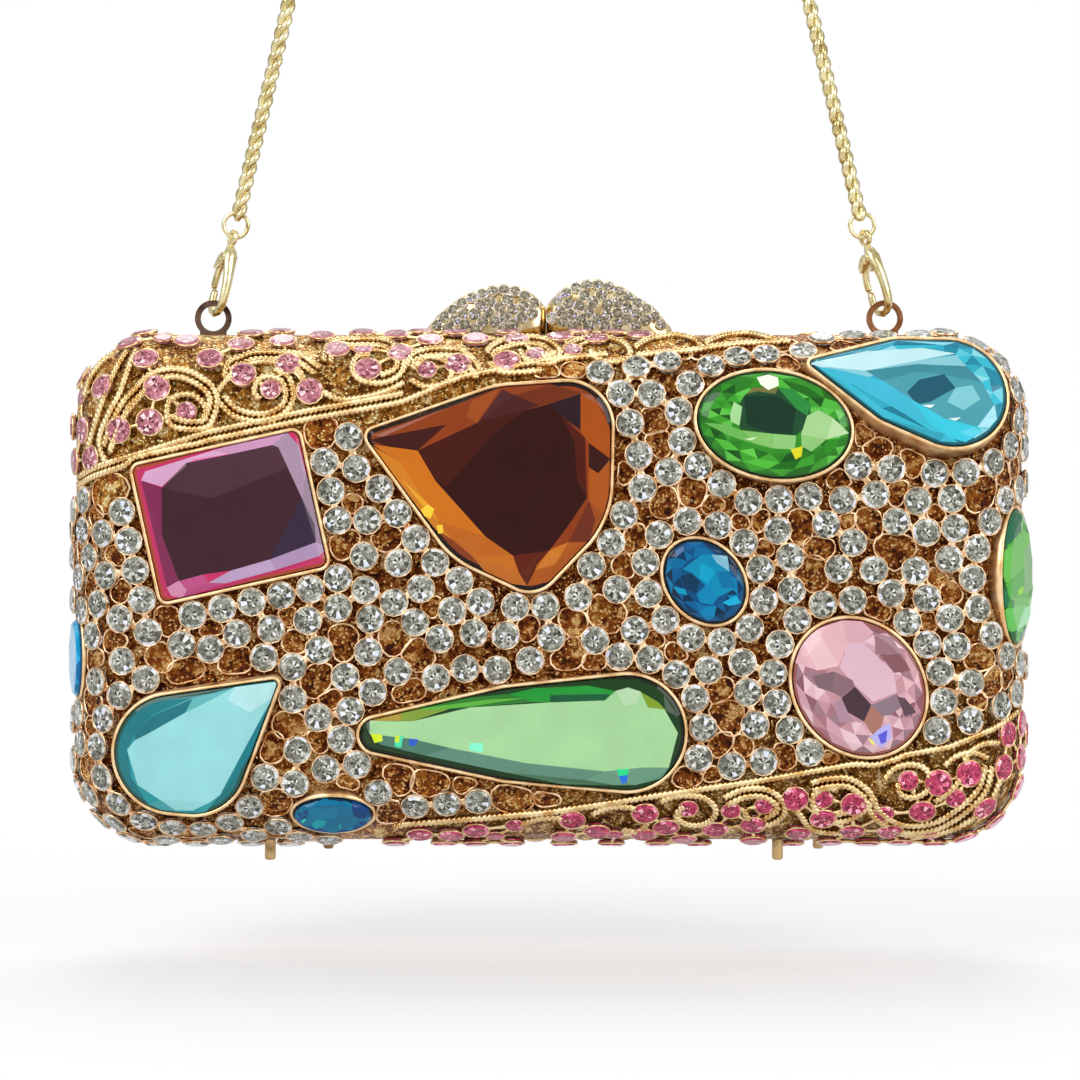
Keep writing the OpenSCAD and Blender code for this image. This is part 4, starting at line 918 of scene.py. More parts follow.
deep_blues = ["0a78a0", "085a94", "0a84a8", "0c4a86", "0a6c9c"]
cut_crystal("bottom_blue", "082c44", "0a4c88",
            ([0.96, 0.84, 0.66], 14, deep_blues, 3), (284.3, 784.6, 7.78), [
    ("02749e", [(180, 200), (300, 140), (430, 150), (520, 220), (520, 280), (430, 320),
                (250, 330)]),
    ("0280a8", [(190, 190), (330, 190), (420, 180), (400, 260), (250, 290), (180, 250)]),
    ("06427e", [(520, 160), (620, 140), (690, 200), (620, 270), (540, 250)]),
    # Painted turquoise glints.
    ("12a8b4", [(210, 310), (250, 280), (325, 285), (310, 325), (240, 350)]),
    ("14b6b0", [(425, 320), (440, 310), (445, 345), (430, 345)]),
    ("2cd6b8", [(130, 285), (160, 265), (170, 280), (140, 305)]),
])

sky_blues = ["0aa0d8", "30b4ea", "0a86c2", "50c0ec", "0a74b0"]
cut_crystal("side_blue", "0a5a8a", "0a8ac4", ([0.96, 0.8, 0.55], 12, sky_blues, 5))

leaf_greens = ["5cb84c", "3c9a34", "78c862", "246c34", "98d88a", "4cac40"]
cut_crystal("side_green", "1c5a1c", "4aa83c",
            ([0.96, 0.82, 0.64], 16, leaf_greens, 8), (962, 480, 7), [
    ("286e4c", [(345, 190), (400, 190), (425, 280), (400, 370), (310, 500), (290, 480),
                (300, 380)]),
    ("4cb43c", [(275, 400), (300, 380), (300, 640), (275, 600)]),
    ("6cc454", [(315, 520), (430, 345), (500, 400), (440, 500), (440, 600), (330, 720)]),
    ("84b880", [(440, 500), (500, 400), (515, 600), (500, 760), (440, 800)]),
    ("54b444", [(330, 730), (440, 600), (440, 740), (380, 820), (345, 840)]),
    # A painted glint.
    ("9ae02c", [(395, 770), (432, 740), (430, 790), (398, 812)]),
    ("287850", [(295, 640), (322, 720), (345, 840), (330, 940), (300, 900), (290, 760)]),
    ("64c658", [(340, 900), (440, 870), (470, 950), (380, 1060), (300, 1050), (330, 950)]),
    ("9ce0ac", [(440, 900), (500, 860), (460, 1000), (385, 1060)]),
    ("90d0a0", [(490, 790), (512, 740), (515, 860), (480, 940)]),
])

# Bezels
# A strip of gold plate round each crystal, soldered to the casting, with a
# rounded lip that is pressed over the girdle.
bezel_lip = [(bezel_t, 0.53), (bezel_t - 0.1, 0.2), (bezel_t - 0.3, 0.08), (0.18, 0.14),
             (0.02, 0.48)]


def bezel_ring(g, offset, drop):
    """A ring round a crystal, this far under the bezel's top."""
    return [on_gem(g, u, v, bezel_h - drop) for u, v in outline(g["shape"], offset, 64)]


def foot_ring(g, offset):
    """A ring round a crystal that follows the casting."""
    ring = []
    for u, v in outline(g["shape"], offset, 64):
        level = g["middle"] + u * g["along"] + v * g["across"]
        ring.append(level + (0.05 + to_skin(level, g["out"])) * g["out"])
    return ring


bezel_gold = plated("bezel_gold_plate", "fbdcae", "e6b67c", 0.36, depth=0.2)
fill(bezel_gold.node_tree.nodes["Principled BSDF"], {"Metallic": 0.8})
bm = bmesh.new()
for g in gems.values():
    loft(bm, [foot_ring(g, bezel_t), *(bezel_ring(g, *turn) for turn in bezel_lip),
              foot_ring(g, bezel_lip[-1][0]), foot_ring(g, bezel_t)])
rounded(bm)
halves("bezels", bm, bezel_gold, ["bezels"])

# Clear rhinestones
# Round cut stones in thin cups that are cast on the shell. They hug the large
# bezels and fill the field between the two filigree bands, and short webs of
# bright metal join cup to cup over the dark openings.
stone_r, cup_r, stone_gap, widest_gap = 2.74, 2.92, 5.92, 7.1
cut_r = 1.06 * stone_r
girdle_z, girdle_h, crown_rise = 0.85, 0.6, 0.5
rim_strip, solder, bare_rim, border_gap = 3.2, 0.1, 1.5, 3.7
border_seeds, tries_each, web_reach, least_facing = 60, 40, 6.9, 0.6
gem_far, gem_thick, stone_shake = 45, 7, 0.04
top_border = [(-0.52, 0.17), (-0.47, 0.215), (-0.35, 0.285), (-0.25, 0.325), (-0.153, 0.357),
              (-0.09, 0.405), (0, 0.438), (0.06, 0.448), (0.14, 0.474), (0.2, 0.486),
              (0.27, 0.5), (0.3, 0.53)]
low_border = [(-0.24, -0.53), (-0.2, -0.478), (-0.15, -0.452), (0, -0.428), (0.1, -0.398),
              (0.23, -0.363), (0.33, -0.33), (0.41, -0.303), (0.46, -0.265), (0.52, -0.2)]


def border(shares, x):
    """Height of a border at x, in the case's own frame."""
    x = min(max(x / case_w, shares[0][0]), shares[-1][0])
    for (a, low), (b, high) in zip(shares, shares[1:]):
        if x <= b:
            return case_mid + case_h * (low + (high - low) * (x - a) / (b - a))


def gem_gap(p):
    """Distance from a spot on the surface to the nearest large crystal's outline."""
    near = case_w
    for g in gems.values():
        d = p - g["middle"]
        if d.length < gem_far and abs(d.dot(g["out"])) < gem_thick:
            near = min(near, from_edge(g, d.dot(g["along"]), d.dot(g["across"])))
    return near


def sideways(n, turn):
    """A direction square to n."""
    side = n.orthogonal().normalized()
    return side * math.cos(turn) + n.cross(side) * math.sin(turn)


def settled(p, n):
    """The spot of the surface nearest to p, which lies along n from it."""
    for _ in range(2):
        p = p + to_skin(p, n) * n
        n = normal_at(p.x, p.z)
    return p, n


class Setting:
    """Spots taken by stones on the front half, each with its outward direction."""

    def __init__(self):
        self.spots = []

    def free(self, p, gap):
        return all((p - q).length >= gap for q, _, _ in self.spots)

    def take(self, p, n, r, gap):
        if (-p.y > rim_y + rim_strip and self.free(p, gap)
                and gem_gap(p) > bezel_t + cup_r - stone_r + r + solder):
            self.spots.append((p, n, r))


def in_clear_field(p, margin=3.5):
    return border(low_border, p.x) + margin < p.z < border(top_border, p.x) - margin


rnd = random.Random(21)
clear = Setting()
seeds = []
for g in gems.values():
    ring = foot_ring(g, bezel_t + cup_r + 2 * solder)
    seeds += [(p.x, p.z) for p in spaced(ring + ring[:1], stone_gap + 0.3)]
for k in range(border_seeds):
    x = case_w * (k / (border_seeds - 1) - 0.5) * 0.96
    seeds += [(x, border(top_border, x) - border_gap), (x, border(low_border, x) + border_gap)]
for x, z in seeds:
    if inset_at(x, z) > bare_rim:
        p, n = skin_at(x, z)
        if in_clear_field(p):
            clear.take(p, n, stone_r, stone_gap)
for p, n, r in clear.spots:
    for _ in range(tries_each):
        away = sideways(n, rnd.uniform(0, 2 * math.pi)) * rnd.uniform(stone_gap, widest_gap)
        q, m = settled(p + away, n)
        if in_clear_field(q):
            clear.take(q, m, stone_r, stone_gap)


def rhinestone(name, r, seed):
    """Girdle, crown and a table through which the back facets show as a ragged star."""
    rnd = random.Random(seed)
    bm = bmesh.new()
    tone = bm.faces.layers.float.new("tone")
    bmesh.ops.create_circle(bm, cap_ends=True, segments=12, radius=r)
    bmesh.ops.translate(bm, vec=(0, 0, girdle_z), verts=bm.verts)
    top = bm.faces[:]
    crown = bmesh.ops.inset_individual(bm, faces=top, thickness=0.24 * r, depth=0.0)["faces"]
    bmesh.ops.translate(bm, vec=(0, 0, crown_rise), verts=top[0].verts)
    star = bmesh.ops.inset_individual(bm, faces=top, thickness=rnd.uniform(0.3, 0.42) * r,
                                      depth=0.0)["faces"]
    bmesh.ops.rotate(bm, verts=top[0].verts, matrix=Matrix.Rotation(rnd.uniform(-0.3, 0.3), 3, "Z"))
    bmesh.ops.translate(bm, verts=top[0].verts,
                        vec=(rnd.uniform(-0.3, 0.3), rnd.uniform(-0.3, 0.3), 0))
    heart = bmesh.ops.poke(bm, faces=top)["faces"]
    # Facet tones, which the glass turns into dark to white colours, are painted reflections; the
    # brightest are painted glints.
    edge_tones = [0.5, 0.62, 0.7, 0.56, 0.9, 0.3]
    for faces, even, odd in ((crown, edge_tones, edge_tones),
                             (star, [0.34, 0.46, 0.2, 0.52], [0.5, 0.4, 0.66, 0.97]),
                             (heart, [0.45, 0.6, 0.8], [0.1, 0.3, 0.5])):
        for k, face in enumerate(faces):
            face[tone] = rnd.choice(odd if k % 2 else even) + rnd.uniform(-0.05, 0.05)
    pull_out(bm, (0, 0, -girdle_h))
    return template(bm, name)


def cup(name, r):
    """A thin turned collar: its lip stands just over the stone's girdle."""
    bm = bmesh.new()
    loft(bm, [[Vector((radius * math.cos(k * math.pi / 6), radius * math.sin(k * math.pi / 6), z))
               for k in range(12)]
              for radius, z in ((r - 0.3, 0.0), (r + 0.17, 0.75), (r + 0.1, 1.03),
                                (r - 0.08, 0.97), (r - 0.3, 0.0))])
    rounded(bm)
    return template(bm, name)


def web(name):
    """A bridge between two cups, waisted at its middle and flat on top."""
    bm = bmesh.new()
    turns = [k * math.pi / 4 + math.pi / 8 for k in range(8)]
    loft(bm, [[Vector((x, wide * math.cos(turn), 0.42 * math.sin(turn))) for turn in turns]
              for x, wide in ((-0.5, 0.85), (-0.32, 0.5), (0, 0.34), (0.32, 0.5), (0.5, 0.85))])
    close_ends(bm)
    bmesh.ops.recalc_face_normals(bm, faces=bm.faces)
    for face in bm.faces:
        face.smooth = len(face.verts) == 4
    return template(bm, name)


def brilliants(name, *stops):
    """Foiled rhinestone glass: its facets are painted from dark to bright as painted reflections,
    with shards of painted glints.
    """
    made, tree, shader, place = new_material(name, 0.0, 0.14)
    facet = add_node(tree, "ShaderNodeAttribute", attribute_name="tone")
    # Streaks of noise push facets towards the ramp's ends: painted glints and dark reflections.
    shards = mapped(tree, noise(tree, place, 1500.0, 3.0, 1.5), 0.3, 0.7, -0.27, 0.27)
    tint = ramp(tree, maths(tree, "ADD", facet.outputs["Fac"], shards), stops)
    fill(shader, {"Base Color": tint, "Specular IOR Level": 0.2, "Coat Weight": 0.5,
                  "Coat IOR": 1.4, "Coat Roughness": 0.03})
    return made


def set_stones(name, spots, finish, nodes, seed):
    """Stones of all cuts on their spots, none of them set quite level."""
    rnd = random.Random(seed)
    bm = bmesh.new()
    for p, n, r in spots:
        shake = Vector((rnd.uniform(-1, 1), rnd.uniform(-1, 1), rnd.uniform(-1, 1)))
        tip = (n + shake * stone_shake).normalized()
        shape, roll = rnd.choice(stone_shapes), rnd.uniform(0, math.pi)
        stamp(bm, shape, standing(p, tip, roll, r / stone_r))
    halves(name, bm, finish, nodes)


def set_cups(bm, spots, reach_to, width=2.1):
    """A cup on each spot, and webs between the cups that are near to each other."""
    for p, n, r in spots:
        stamp(bm, cup_shape, standing(p, n, 0, r / stone_r))
    for i, (p, n, r) in enumerate(spots):
        for q, m, s in spots[i + 1:]:
            run = q - p
            if run.length < reach_to and n.dot(m) > least_facing:
                up = ((n + m) / 2).normalized()
                across = up.cross(run).normalized()
                along = run.normalized()
                middle = (p + q) / 2
                middle = middle + up * (0.5 + to_skin(middle, up))
                turn = Matrix((along, across, along.cross(across))).transposed().to_4x4()
                span = Matrix.Diagonal((run.length - r - s + 0.5, width, 1.0, 1))
                stamp(bm, web_shape, Matrix.Translation(middle) @ turn @ span)


# The white and pale blue at the top of this ramp are painted glints.
white_glass = brilliants("clear_rhinestone", (0.0, "262520"), (0.32, "605f56"), (0.58, "96968b"),
                         (0.82, "d8d9d0"), (0.93, "ffffff"), (1.0, "ccd6f4"))
cast_gold = plated("cast_rose_gold_plate", "fbdcb4", "bc8450", 0.28, patch=420.0, depth=0.35)
stone_shapes = [rhinestone("stone_%d" % k, cut_r, 40 + k) for k in range(11)]
cup_shape, web_shape = cup("cup", cut_r), web("web")
set_stones("clear_stones", clear.spots, white_glass, ["clear_stones"], 5)
bm = bmesh.new()
set_cups(bm, clear.spots, web_reach)
halves("clear_cups", bm, cast_gold)

# Pierced openings
# The casting is pierced between the cups. Each opening has a floor painted dark
# brown, as painted shade in the opening, with gold grains in it, and a thin
# cast ring runs round its edge.
well_low, well_high, well_tries, edge_step = 1.05, 3.3, 9000, 0.15
well_rim, well_gap, bezel_room, look_round = 0.6, 0.7, 0.35, 14
wells, marks = [], []
for _ in range(well_tries):
    x = rnd.uniform(1 - case_w / 2, case_w / 2 - 1)
    z = case_mid + rnd.uniform(1.5 - case_h / 2, case_h / 2 - 1.5)
    if inset_at(x, z) > well_rim:
        q, n = skin_at(x, z)
        if in_clear_field(q, 1.8):
            near = min((q - p).length for p, _, _ in clear.spots) - cup_r - solder
            marks.append((min(near, gem_gap(q) - bezel_t - bezel_room, well_high), q, n))
marks.sort(key=lambda mark: -mark[0])
for r, q, n in marks:
    if r > well_low and all((q - p).length > r + s + well_gap for s, p, _ in wells):
        wells.append((r, q, n))


def on_skin(q, n, r, turn, lift):
    """A spot on the surface, some way from q, lifted along n."""
    p = q + sideways(n, turn) * r
    return p + (to_skin(p, n) + lift) * n


def well_edge(r, q, n, turns):
    """How far an opening reaches each way before it meets a cup, a bezel or another one."""
    near = [(p, cup_r + solder) for p, _, _ in clear.spots if (p - q).length < look_round]
    near += [(p, s + 0.9) for s, p, _ in wells if 0 < (p - q).length < look_round]
    far = []
    for turn in turns:
        reach_to = r * 0.9
        while reach_to < 1.75 * r + 0.5:
            p = on_skin(q, n, reach_to + edge_step, turn, 0)
            if (any((p - c).length < gap for c, gap in near) or gem_gap(p) < bezel_t + 0.5
                    or not in_clear_field(p, 1.2)):
                break
            reach_to += edge_step
        far.append(reach_to)
    for _ in range(2):
        far = [(far[k - 1] + 2 * far[k] + far[(k + 1) % len(far)]) / 4 for k in range(len(far))]
    return far


# The dark browns are painted shade in the openings; the pale tone is the gold grains.
well_shade_tones = ("380f04", "823e10", "b87628", "f4ce8a")
rim_wall = [(0.36, 0.0), (0.24, 0.32), (-0.03, 0.38), (-0.16, 0.24), (-0.2, 0.0), (0.36, 0.0)]
floors, rims = bmesh.new(), bmesh.new()
turns = [k * math.pi / 9 for k in range(18)]
for r, q, n in wells:
    edge = list(zip(turns, well_edge(r, q, n, turns)))
    made = bmesh.ops.create_circle(floors, cap_ends=True, segments=18, radius=r)["verts"]
    for vert, (turn, far) in zip(made, edge):
        vert.co = on_skin(q, n, far, turn, 0.08)
    bmesh.ops.poke(floors, faces=list(set(made[0].link_faces)))
    loft(rims, [[on_skin(q, n, far + out, turn, up) for turn, far in edge] for out, up in rim_wall])
bmesh.ops.recalc_face_normals(floors, faces=floors.faces)
bmesh.ops.solidify(floors, geom=floors.faces[:], thickness=0.07)
rounded(rims)
halves("wells", floors, glitter("well_shade_glitter", 820.0, well_shade_tones, well_shade_tones))
halves("well_rims", rims, cast_gold)

# Filigree bands
# Twisted gold rope is soldered on the casting in leaf scrolls, over the top
# left and along the bottom right, with a plain border rope against the field.
rope_r, rope_twist, rope_lift = 0.82, 2.1, 0.55
yellow_gold = plated("yellow_gold_plate", "f4dcaa", "c99c60", 0.28)


def rope(bm, spots):
    """Two strands twisted together along a line of spots on the surface."""
    path = []
    for p in spaced(smooth_line([(x, 0, z) for x, z in spots], 6), 0.36):
        if inset_at(p.x, p.z) > 0.25:
            q, n = skin_at(p.x, p.z)
            path.append((q + n * rope_lift, n))
    if len(path) < 3:
        return
    rings = []
    travelled = 0.0
    for i, (p, n) in enumerate(path):
        (behind, _), (ahead, _) = around(path, i)
        along = (ahead - behind).normalized()
        side = along.cross(n).normalized()
        up = side.cross(along)
        if i:
            travelled += (p - behind).length
        turn = travelled / rope_twist * 2 * math.pi
        ring = []
        for k in range(8):
            a = 2 * math.pi * k / 8
            r = rope_r * (0.66 + 0.42 * abs(math.cos(a)))
            ring.append(p + side * (r * math.cos(a + turn)) + up * (r * math.sin(a + turn)))
        rings.append(ring)
    loft(bm, rings)
    close_ends(bm)


def beside(spots, gap):
    """The same line moved a gap to its left."""
    moved = []
    for i, (x, z) in enumerate(spots):
        (ax, az), (bx, bz) = around(spots, i)
        l = math.hypot(bx - ax, bz - az)
        moved.append((x - gap * (bz - az) / l, z + gap * (bx - ax) / l))
    return moved


top_scrolls = [
    [(128, 353), (120, 366), (111, 385), (102, 410), (94, 437), (88, 463)],
    [(137, 352), (130, 368), (122, 392), (112, 412), (103, 434), (103, 450), (108, 463)],
    [(112, 358), (101, 367), (92, 380), (87, 398)],
    [(106, 446), (121, 408), (135, 391), (151, 376), (173, 371), (193, 375), (211, 386), (218, 401),
     (213, 420), (206, 428), (186, 429), (170, 424), (168, 405), (178, 396), (194, 396), (206, 408),
     (203, 420)],
    [(112, 452), (124, 420), (140, 398), (156, 384), (174, 378)],
    [(224, 380), (228, 365), (239, 360), (254, 355), (279, 355), (301, 358), (320, 370)],
    [(224, 396), (236, 408), (252, 413), (267, 413), (281, 406), (286, 396), (282, 383), (271, 378),
     (259, 381), (254, 393), (261, 400)],
    [(218, 392), (236, 372), (258, 364), (282, 366), (300, 374), (306, 390)],
    [(323, 363), (330, 345), (353, 342), (386, 343), (403, 358), (401, 375), (384, 384), (362, 382),
     (352, 372), (356, 360), (370, 358)],
    [(322, 392), (340, 400), (362, 398), (386, 392), (404, 384)],
    [(406, 368), (413, 356), (436, 351), (461, 353), (474, 363), (483, 376)],
    [(410, 381), (426, 388), (446, 384), (452, 372), (442, 362), (426, 360), (416, 368)],
    [(486, 355), (494, 347), (519, 340), (544, 342), (559, 352), (557, 362), (544, 366), (526, 362),
     (520, 353)],
    [(489, 365), (499, 373), (520, 374), (542, 372)],
    [(562, 352), (576, 343), (600, 340), (622, 345), (630, 356), (618, 364), (598, 362),
     (590, 353)],
    [(634, 350), (650, 341), (674, 338), (694, 342), (700, 349)],
    [(704, 346), (722, 338), (746, 336), (766, 340), (784, 345)],
    [(636, 358), (662, 355), (690, 353), (716, 349), (746, 346), (790, 344)],
]
low_scrolls = [
    [(811, 782), (828, 778), (850, 778), (868, 789), (872, 799), (858, 813), (838, 819), (820, 812),
     (812, 798), (822, 788), (838, 788)],
    [(884, 780), (894, 768), (914, 764), (928, 772), (928, 788), (914, 796), (900, 792),
     (898, 782)],
    [(874, 795), (878, 807), (894, 819), (913, 823), (937, 819), (957, 807), (977, 787),
     (983, 764)],
    [(934, 800), (950, 790), (962, 774), (966, 756), (980, 744), (996, 742)],
    [(944, 766), (956, 756), (972, 752), (986, 758)],
    [(660, 800), (680, 794), (704, 796), (716, 808), (708, 820), (690, 822), (676, 814),
     (684, 804)],
    [(724, 796), (744, 788), (766, 788), (782, 798), (784, 812), (768, 822), (750, 818),
     (744, 806)],
    [(592, 812), (610, 805), (634, 806), (648, 816), (640, 828), (622, 826)],
    [(520, 822), (540, 816), (564, 816), (584, 824)],
    [(790, 800), (800, 812), (812, 826), (836, 830), (866, 826)],
    [(884, 826), (910, 832), (940, 830), (968, 818), (990, 796), (1000, 770)],
]


def border_rope(shares, low_x, high_x, step, offset=0.0):
    """The line of a border, which steps aside where a bezel is in its way."""
    spots = []
    count = 70
    for k in range(count + 1):
        x = low_x + (high_x - low_x) * k / count
        z = border(shares, x) + offset
        while gem_gap(surface(x, z)) < bezel_t + rope_r + 0.15:
            z += step
        spots.append((x, z))
    return spots


bm = bmesh.new()
rope(bm, border_rope(top_border, -97.6, 12, 0.25))
rope(bm, border_rope(top_border, -97.4, -30, 0.25, 1.7))
rope(bm, border_rope(low_border, -32, 97, -0.25))
for scroll in top_scrolls + low_scrolls:
    rope(bm, [at_pixel(*spot) for spot in scroll])
for scroll in (top_scrolls[3][:12], top_scrolls[5], top_scrolls[6][:8], top_scrolls[8][:7],
               top_scrolls[10], top_scrolls[12][:7], low_scrolls[0][:7], low_scrolls[2],
               low_scrolls[6][:6]):
    rope(bm, beside([at_pixel(*spot) for spot in scroll], -1.6))
rounded(bm)
halves("filigree", bm, yellow_gold, ["filigree"])

# Rose and fuchsia rhinestones
# Pink stones sit in the leaves of the scrolls: pale rose over the top left
# band, and a stronger fuchsia along the bottom right.
big, small = 2.65, 2.0
top_pink = [(157, 389, big), (150, 422, big), (120, 430, big), (146, 361, big), (210, 361, big),
            (187, 344, big), (163, 341, small), (130, 346, big), (104, 388, big), (85, 396, small),
            (86, 430, big), (187, 412, small), (243, 376, big), (310, 392, big), (288, 366, big),
            (241, 347, big), (283, 344, big), (322, 339, big), (271, 390, small), (337, 352, big),
            (363, 351, small), (368, 371, big), (427, 371, small), (458, 366, big), (507, 363, big),
            (536, 356, small), (476, 342, big), (516, 342, big), (430, 343, big), (396, 338, big),
            (572, 352, small), (610, 353, big), (560, 340, big), (660, 350, big), (686, 346, small),
            (640, 338, big), (716, 345, big), (748, 346, small), (780, 345, small)]
low_pink = [(572, 817, big), (597, 828, big), (614, 832, small), (645, 811, big), (644, 831, big),
            (666, 824, big), (688, 807, small), (515, 823, small), (476, 827, big),
            (495, 833, small), (451, 832, big), (420, 831, big), (715, 826, big), (795, 797, big),
            (823, 798, small), (854, 802, big), (823, 816, big), (908, 780, small), (938, 782, big),
            (968, 773, big), (922, 809, big), (731, 809, small), (753, 822, big), (852, 828, big),
            (890, 828, big), (930, 832, small), (983, 806, big), (1001, 767, big), (1005, 734, big),
            (955, 797, small), (884, 812, small), (764, 804, small)]
foot_spots, foot_room, tab_room = [(-58.4, -11.5), (47.8, -11.5)], 4.5, 6.5
leaf_gap, edge_gap, field_gap = 3.6, 6.6, 6.0
edge_tries, hidden_z, hidden_x = 6000, 5.5, 94


def in_bands(p, margin=3.0):
    return p.z > border(top_border, p.x) + margin or p.z < border(low_border, p.x) - margin


pink_top, pink_low = Setting(), Setting()
for setting, listed in ((pink_top, top_pink), (pink_low, low_pink)):
    for px, py, r in listed:
        q, n = skin_at(*at_pixel(px, py))
        if in_bands(q, 1.2):
            setting.take(q, n, r, leaf_gap)
for _ in range(edge_tries):
    q, n = edge_spot(rnd.random(), math.radians(10 + 75 * rnd.random()))
    on_top = q.z > case_mid
    near_foot = not on_top and min(math.hypot(q.x - x, q.y - y) for x, y in foot_spots) < foot_room
    hidden = abs(q.z - case_mid) > case_h / 2 - hidden_z or abs(q.x) > hidden_x
    at_tab = on_top and abs(q.x + tab_x) < tab_room
    if hidden and not near_foot and not at_tab and in_bands(q) and clear.free(q, field_gap):
        (pink_top if on_top else pink_low).take(q, n, big, edge_gap)
# The palest pinks at the top of these ramps are painted glints.
rose_glass = brilliants("rose_rhinestone", (0.0, "481820"), (0.35, "94505c"), (0.65, "c47e88"),
                        (0.86, "e8b0ba"), (0.96, "ffe4e8"))
fuchsia_glass = brilliants("fuchsia_rhinestone", (0.0, "46061c"), (0.35, "9a2048"),
                           (0.65, "c63e68"), (0.86, "ec6e92"), (0.96, "ffc4d4"))
set_stones("rose_stones", pink_top.spots, rose_glass, ["pink_stones"], 6)
set_stones("fuchsia_stones", pink_low.spots, fuchsia_glass, [], 7)
bm = bmesh.new()
for setting in (pink_top, pink_low):
    set_cups(bm, setting.spots, 8.5, 0.9)
halves("pink_cups", bm, yellow_gold)

# Clasp lobes
# Two cast lobes stand on the frames and snap past each other. Each has a smooth
# rolled edge and a pave of small smoky stones, close together in thin rings.
lobe_l, lobe_t, lobe_mid, slit = 27.0, 3.6, -0.6, 0.015
lobe_low, lobe_heart = case_mid + case_h / 2 + 0.3, 0.315 * lobe_l
lobe_discs = {1: [(10.2, 11.8), (18.0, 7.6), (24.3, 2.7)],
              -1: [(9.2, 10.7), (13.2, 9.4), (18.6, 6.1), (23.7, 2.1)]}
cut_h, stem_l, stem_w, stem_y, stem_top = 2.2, 13.4, 2.0, 1.5, 0.5
pave_gap, pave_size, pave_inset, pave_sink = 2.3, 0.465, 1.5, 0.12
pave_lip, pave_cut, worn_reach = 0.91, 1.3, 6.4


def lobe_far(side, turn):
    """How far a lobe reaches one way, and the disc of its outline that does."""
    return max((x * math.cos(turn) + r, x, r) for x, r in lobe_discs[side])


def lobe_turns(side):
    x, r = lobe_discs[side][0]
    return [k * math.acos(-x / r) / 40 for k in range(40, -1, -1)]


def lobe_share(side, x, z):
    """0 at the lobe's heart and 1 at its edge."""
    return max(((x - lobe_heart) * math.cos(t) + z * math.sin(t))
               / (lobe_far(side, t)[0] - lobe_heart * math.cos(t)) for t in lobe_turns(side)[::2])


def lobe_puff(side, x, z):
    """Half the thickness of a lobe at a spot."""
    return lobe_t * math.sqrt(max(1 - max(lobe_share(side, x, z), 0) ** 5, 0))


def lobe_arc(side, inset):
    """A lobe's outline from its cut to its far end, moved inward."""
    arc = []
    for t in lobe_turns(side):
        _, x, r = lobe_far(side, t)
        arc.append((x + (r - inset) * math.cos(t), (r - inset) * math.sin(t)))
    return arc


def lobe(side):
    """The body of one lobe, whose cut side faces the other one, on its stem."""
    arch = [(0.0, 0.0), (0.0, cut_h)] + lobe_arc(side, 0)
    levels = [0.15, 0.4, 0.6, 0.75, 0.86, 0.93, 0.97, 0.992]
    rings = []
    for share, face in [(s, -1) for s in levels] + [(1, 0)] + [(s, 1) for s in reversed(levels)]:
        y = face * lobe_t * math.sqrt(1 - share ** 5)
        rings.append([Vector((lobe_heart + share * (x - lobe_heart), y, share * z))
                      for x, z in arch])
    bm = bmesh.new()
    loft(bm, rings)
    close_ends(bm)
    bmesh.ops.recalc_face_normals(bm, faces=bm.faces)
    for face in bm.faces:
        face.smooth = face.normal.z > -0.9
    stem = bmesh.ops.create_cube(bm, size=1)["verts"]
    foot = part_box(("front" if side > 0 else "rear") + "_clasp_lobe")[0].z / MM - lobe_low
    bmesh.ops.scale(bm, verts=stem, vec=(stem_l, stem_w, stem_top - foot))
    bmesh.ops.translate(bm, verts=stem, vec=(lobe_heart, -stem_y * side, (stem_top + foot) / 2))
    place = Matrix.Translation((lobe_mid + side * slit, 0, lobe_low))
    bmesh.ops.transform(bm, matrix=place @ Matrix.Diagonal((side, 1, 1, 1)), verts=bm.verts)
    if side < 0:
        bmesh.ops.reverse_faces(bm, faces=bm.faces)
    return bm


def bare(side, worn, p):
    """Whether a spot stays without a stone: at the cut, on the lip or in the worn corner."""
    return p.x < pave_cut or lobe_share(side, *p) > pave_lip or worn and p.x + p.y < worn_reach


def apart(p, taken, gap):
    return all((p - q).length > gap for q in taken)


def pave(side):
    """Spots for the small stones on both faces of a lobe, packed unevenly but close."""
    spots = []
    floor_z = 0.9 if side < 0 else 1.6
    for face in (-1, 1):
        worn = side < 0 and face < 0
        edge = [Vector(p) for p in lobe_arc(side, pave_inset)]
        taken, tries = [], spaced(edge, pave_gap + 0.04)
        for p in tries:
            free = p.y >= floor_z and not bare(side, worn, p)
            if free and apart(p, taken, pave_gap - 0.01):
                for q in taken:
                    run = q - p
                    if run.length < 1.9 * pave_gap:
                        rise = math.sqrt(pave_gap ** 2 - run.length_squared / 4)
                        off = run.orthogonal().normalized() * rise
                        tries += [p + run / 2 + off, p + run / 2 - off]
                taken.append(p)
        for row in range(50):
            for step in range(80):
                p = Vector((step / 3, floor_z + row / 4))
                if not bare(side, worn, p) and apart(p, taken, 0.89 * pave_gap):
                    taken.append(p)
        for x, z in taken:
            y, e = lobe_puff(side, x, z), 0.1
            n = Vector((lobe_puff(side, x - e, z) - lobe_puff(side, x + e, z), 0,
                        lobe_puff(side, x, z - e) - lobe_puff(side, x, z + e))) / (2 * e)
            n = (n + Vector((0, face, 0))).normalized()
            n.x *= side
            middle = Vector((lobe_mid + side * (x + slit), face * y, lobe_low + z))
            spots.append((middle - pave_sink * n, n))
    return spots


clasp_gold = plated("clasp_gold_plate", "f2e2b6", "cfae78", 0.2)
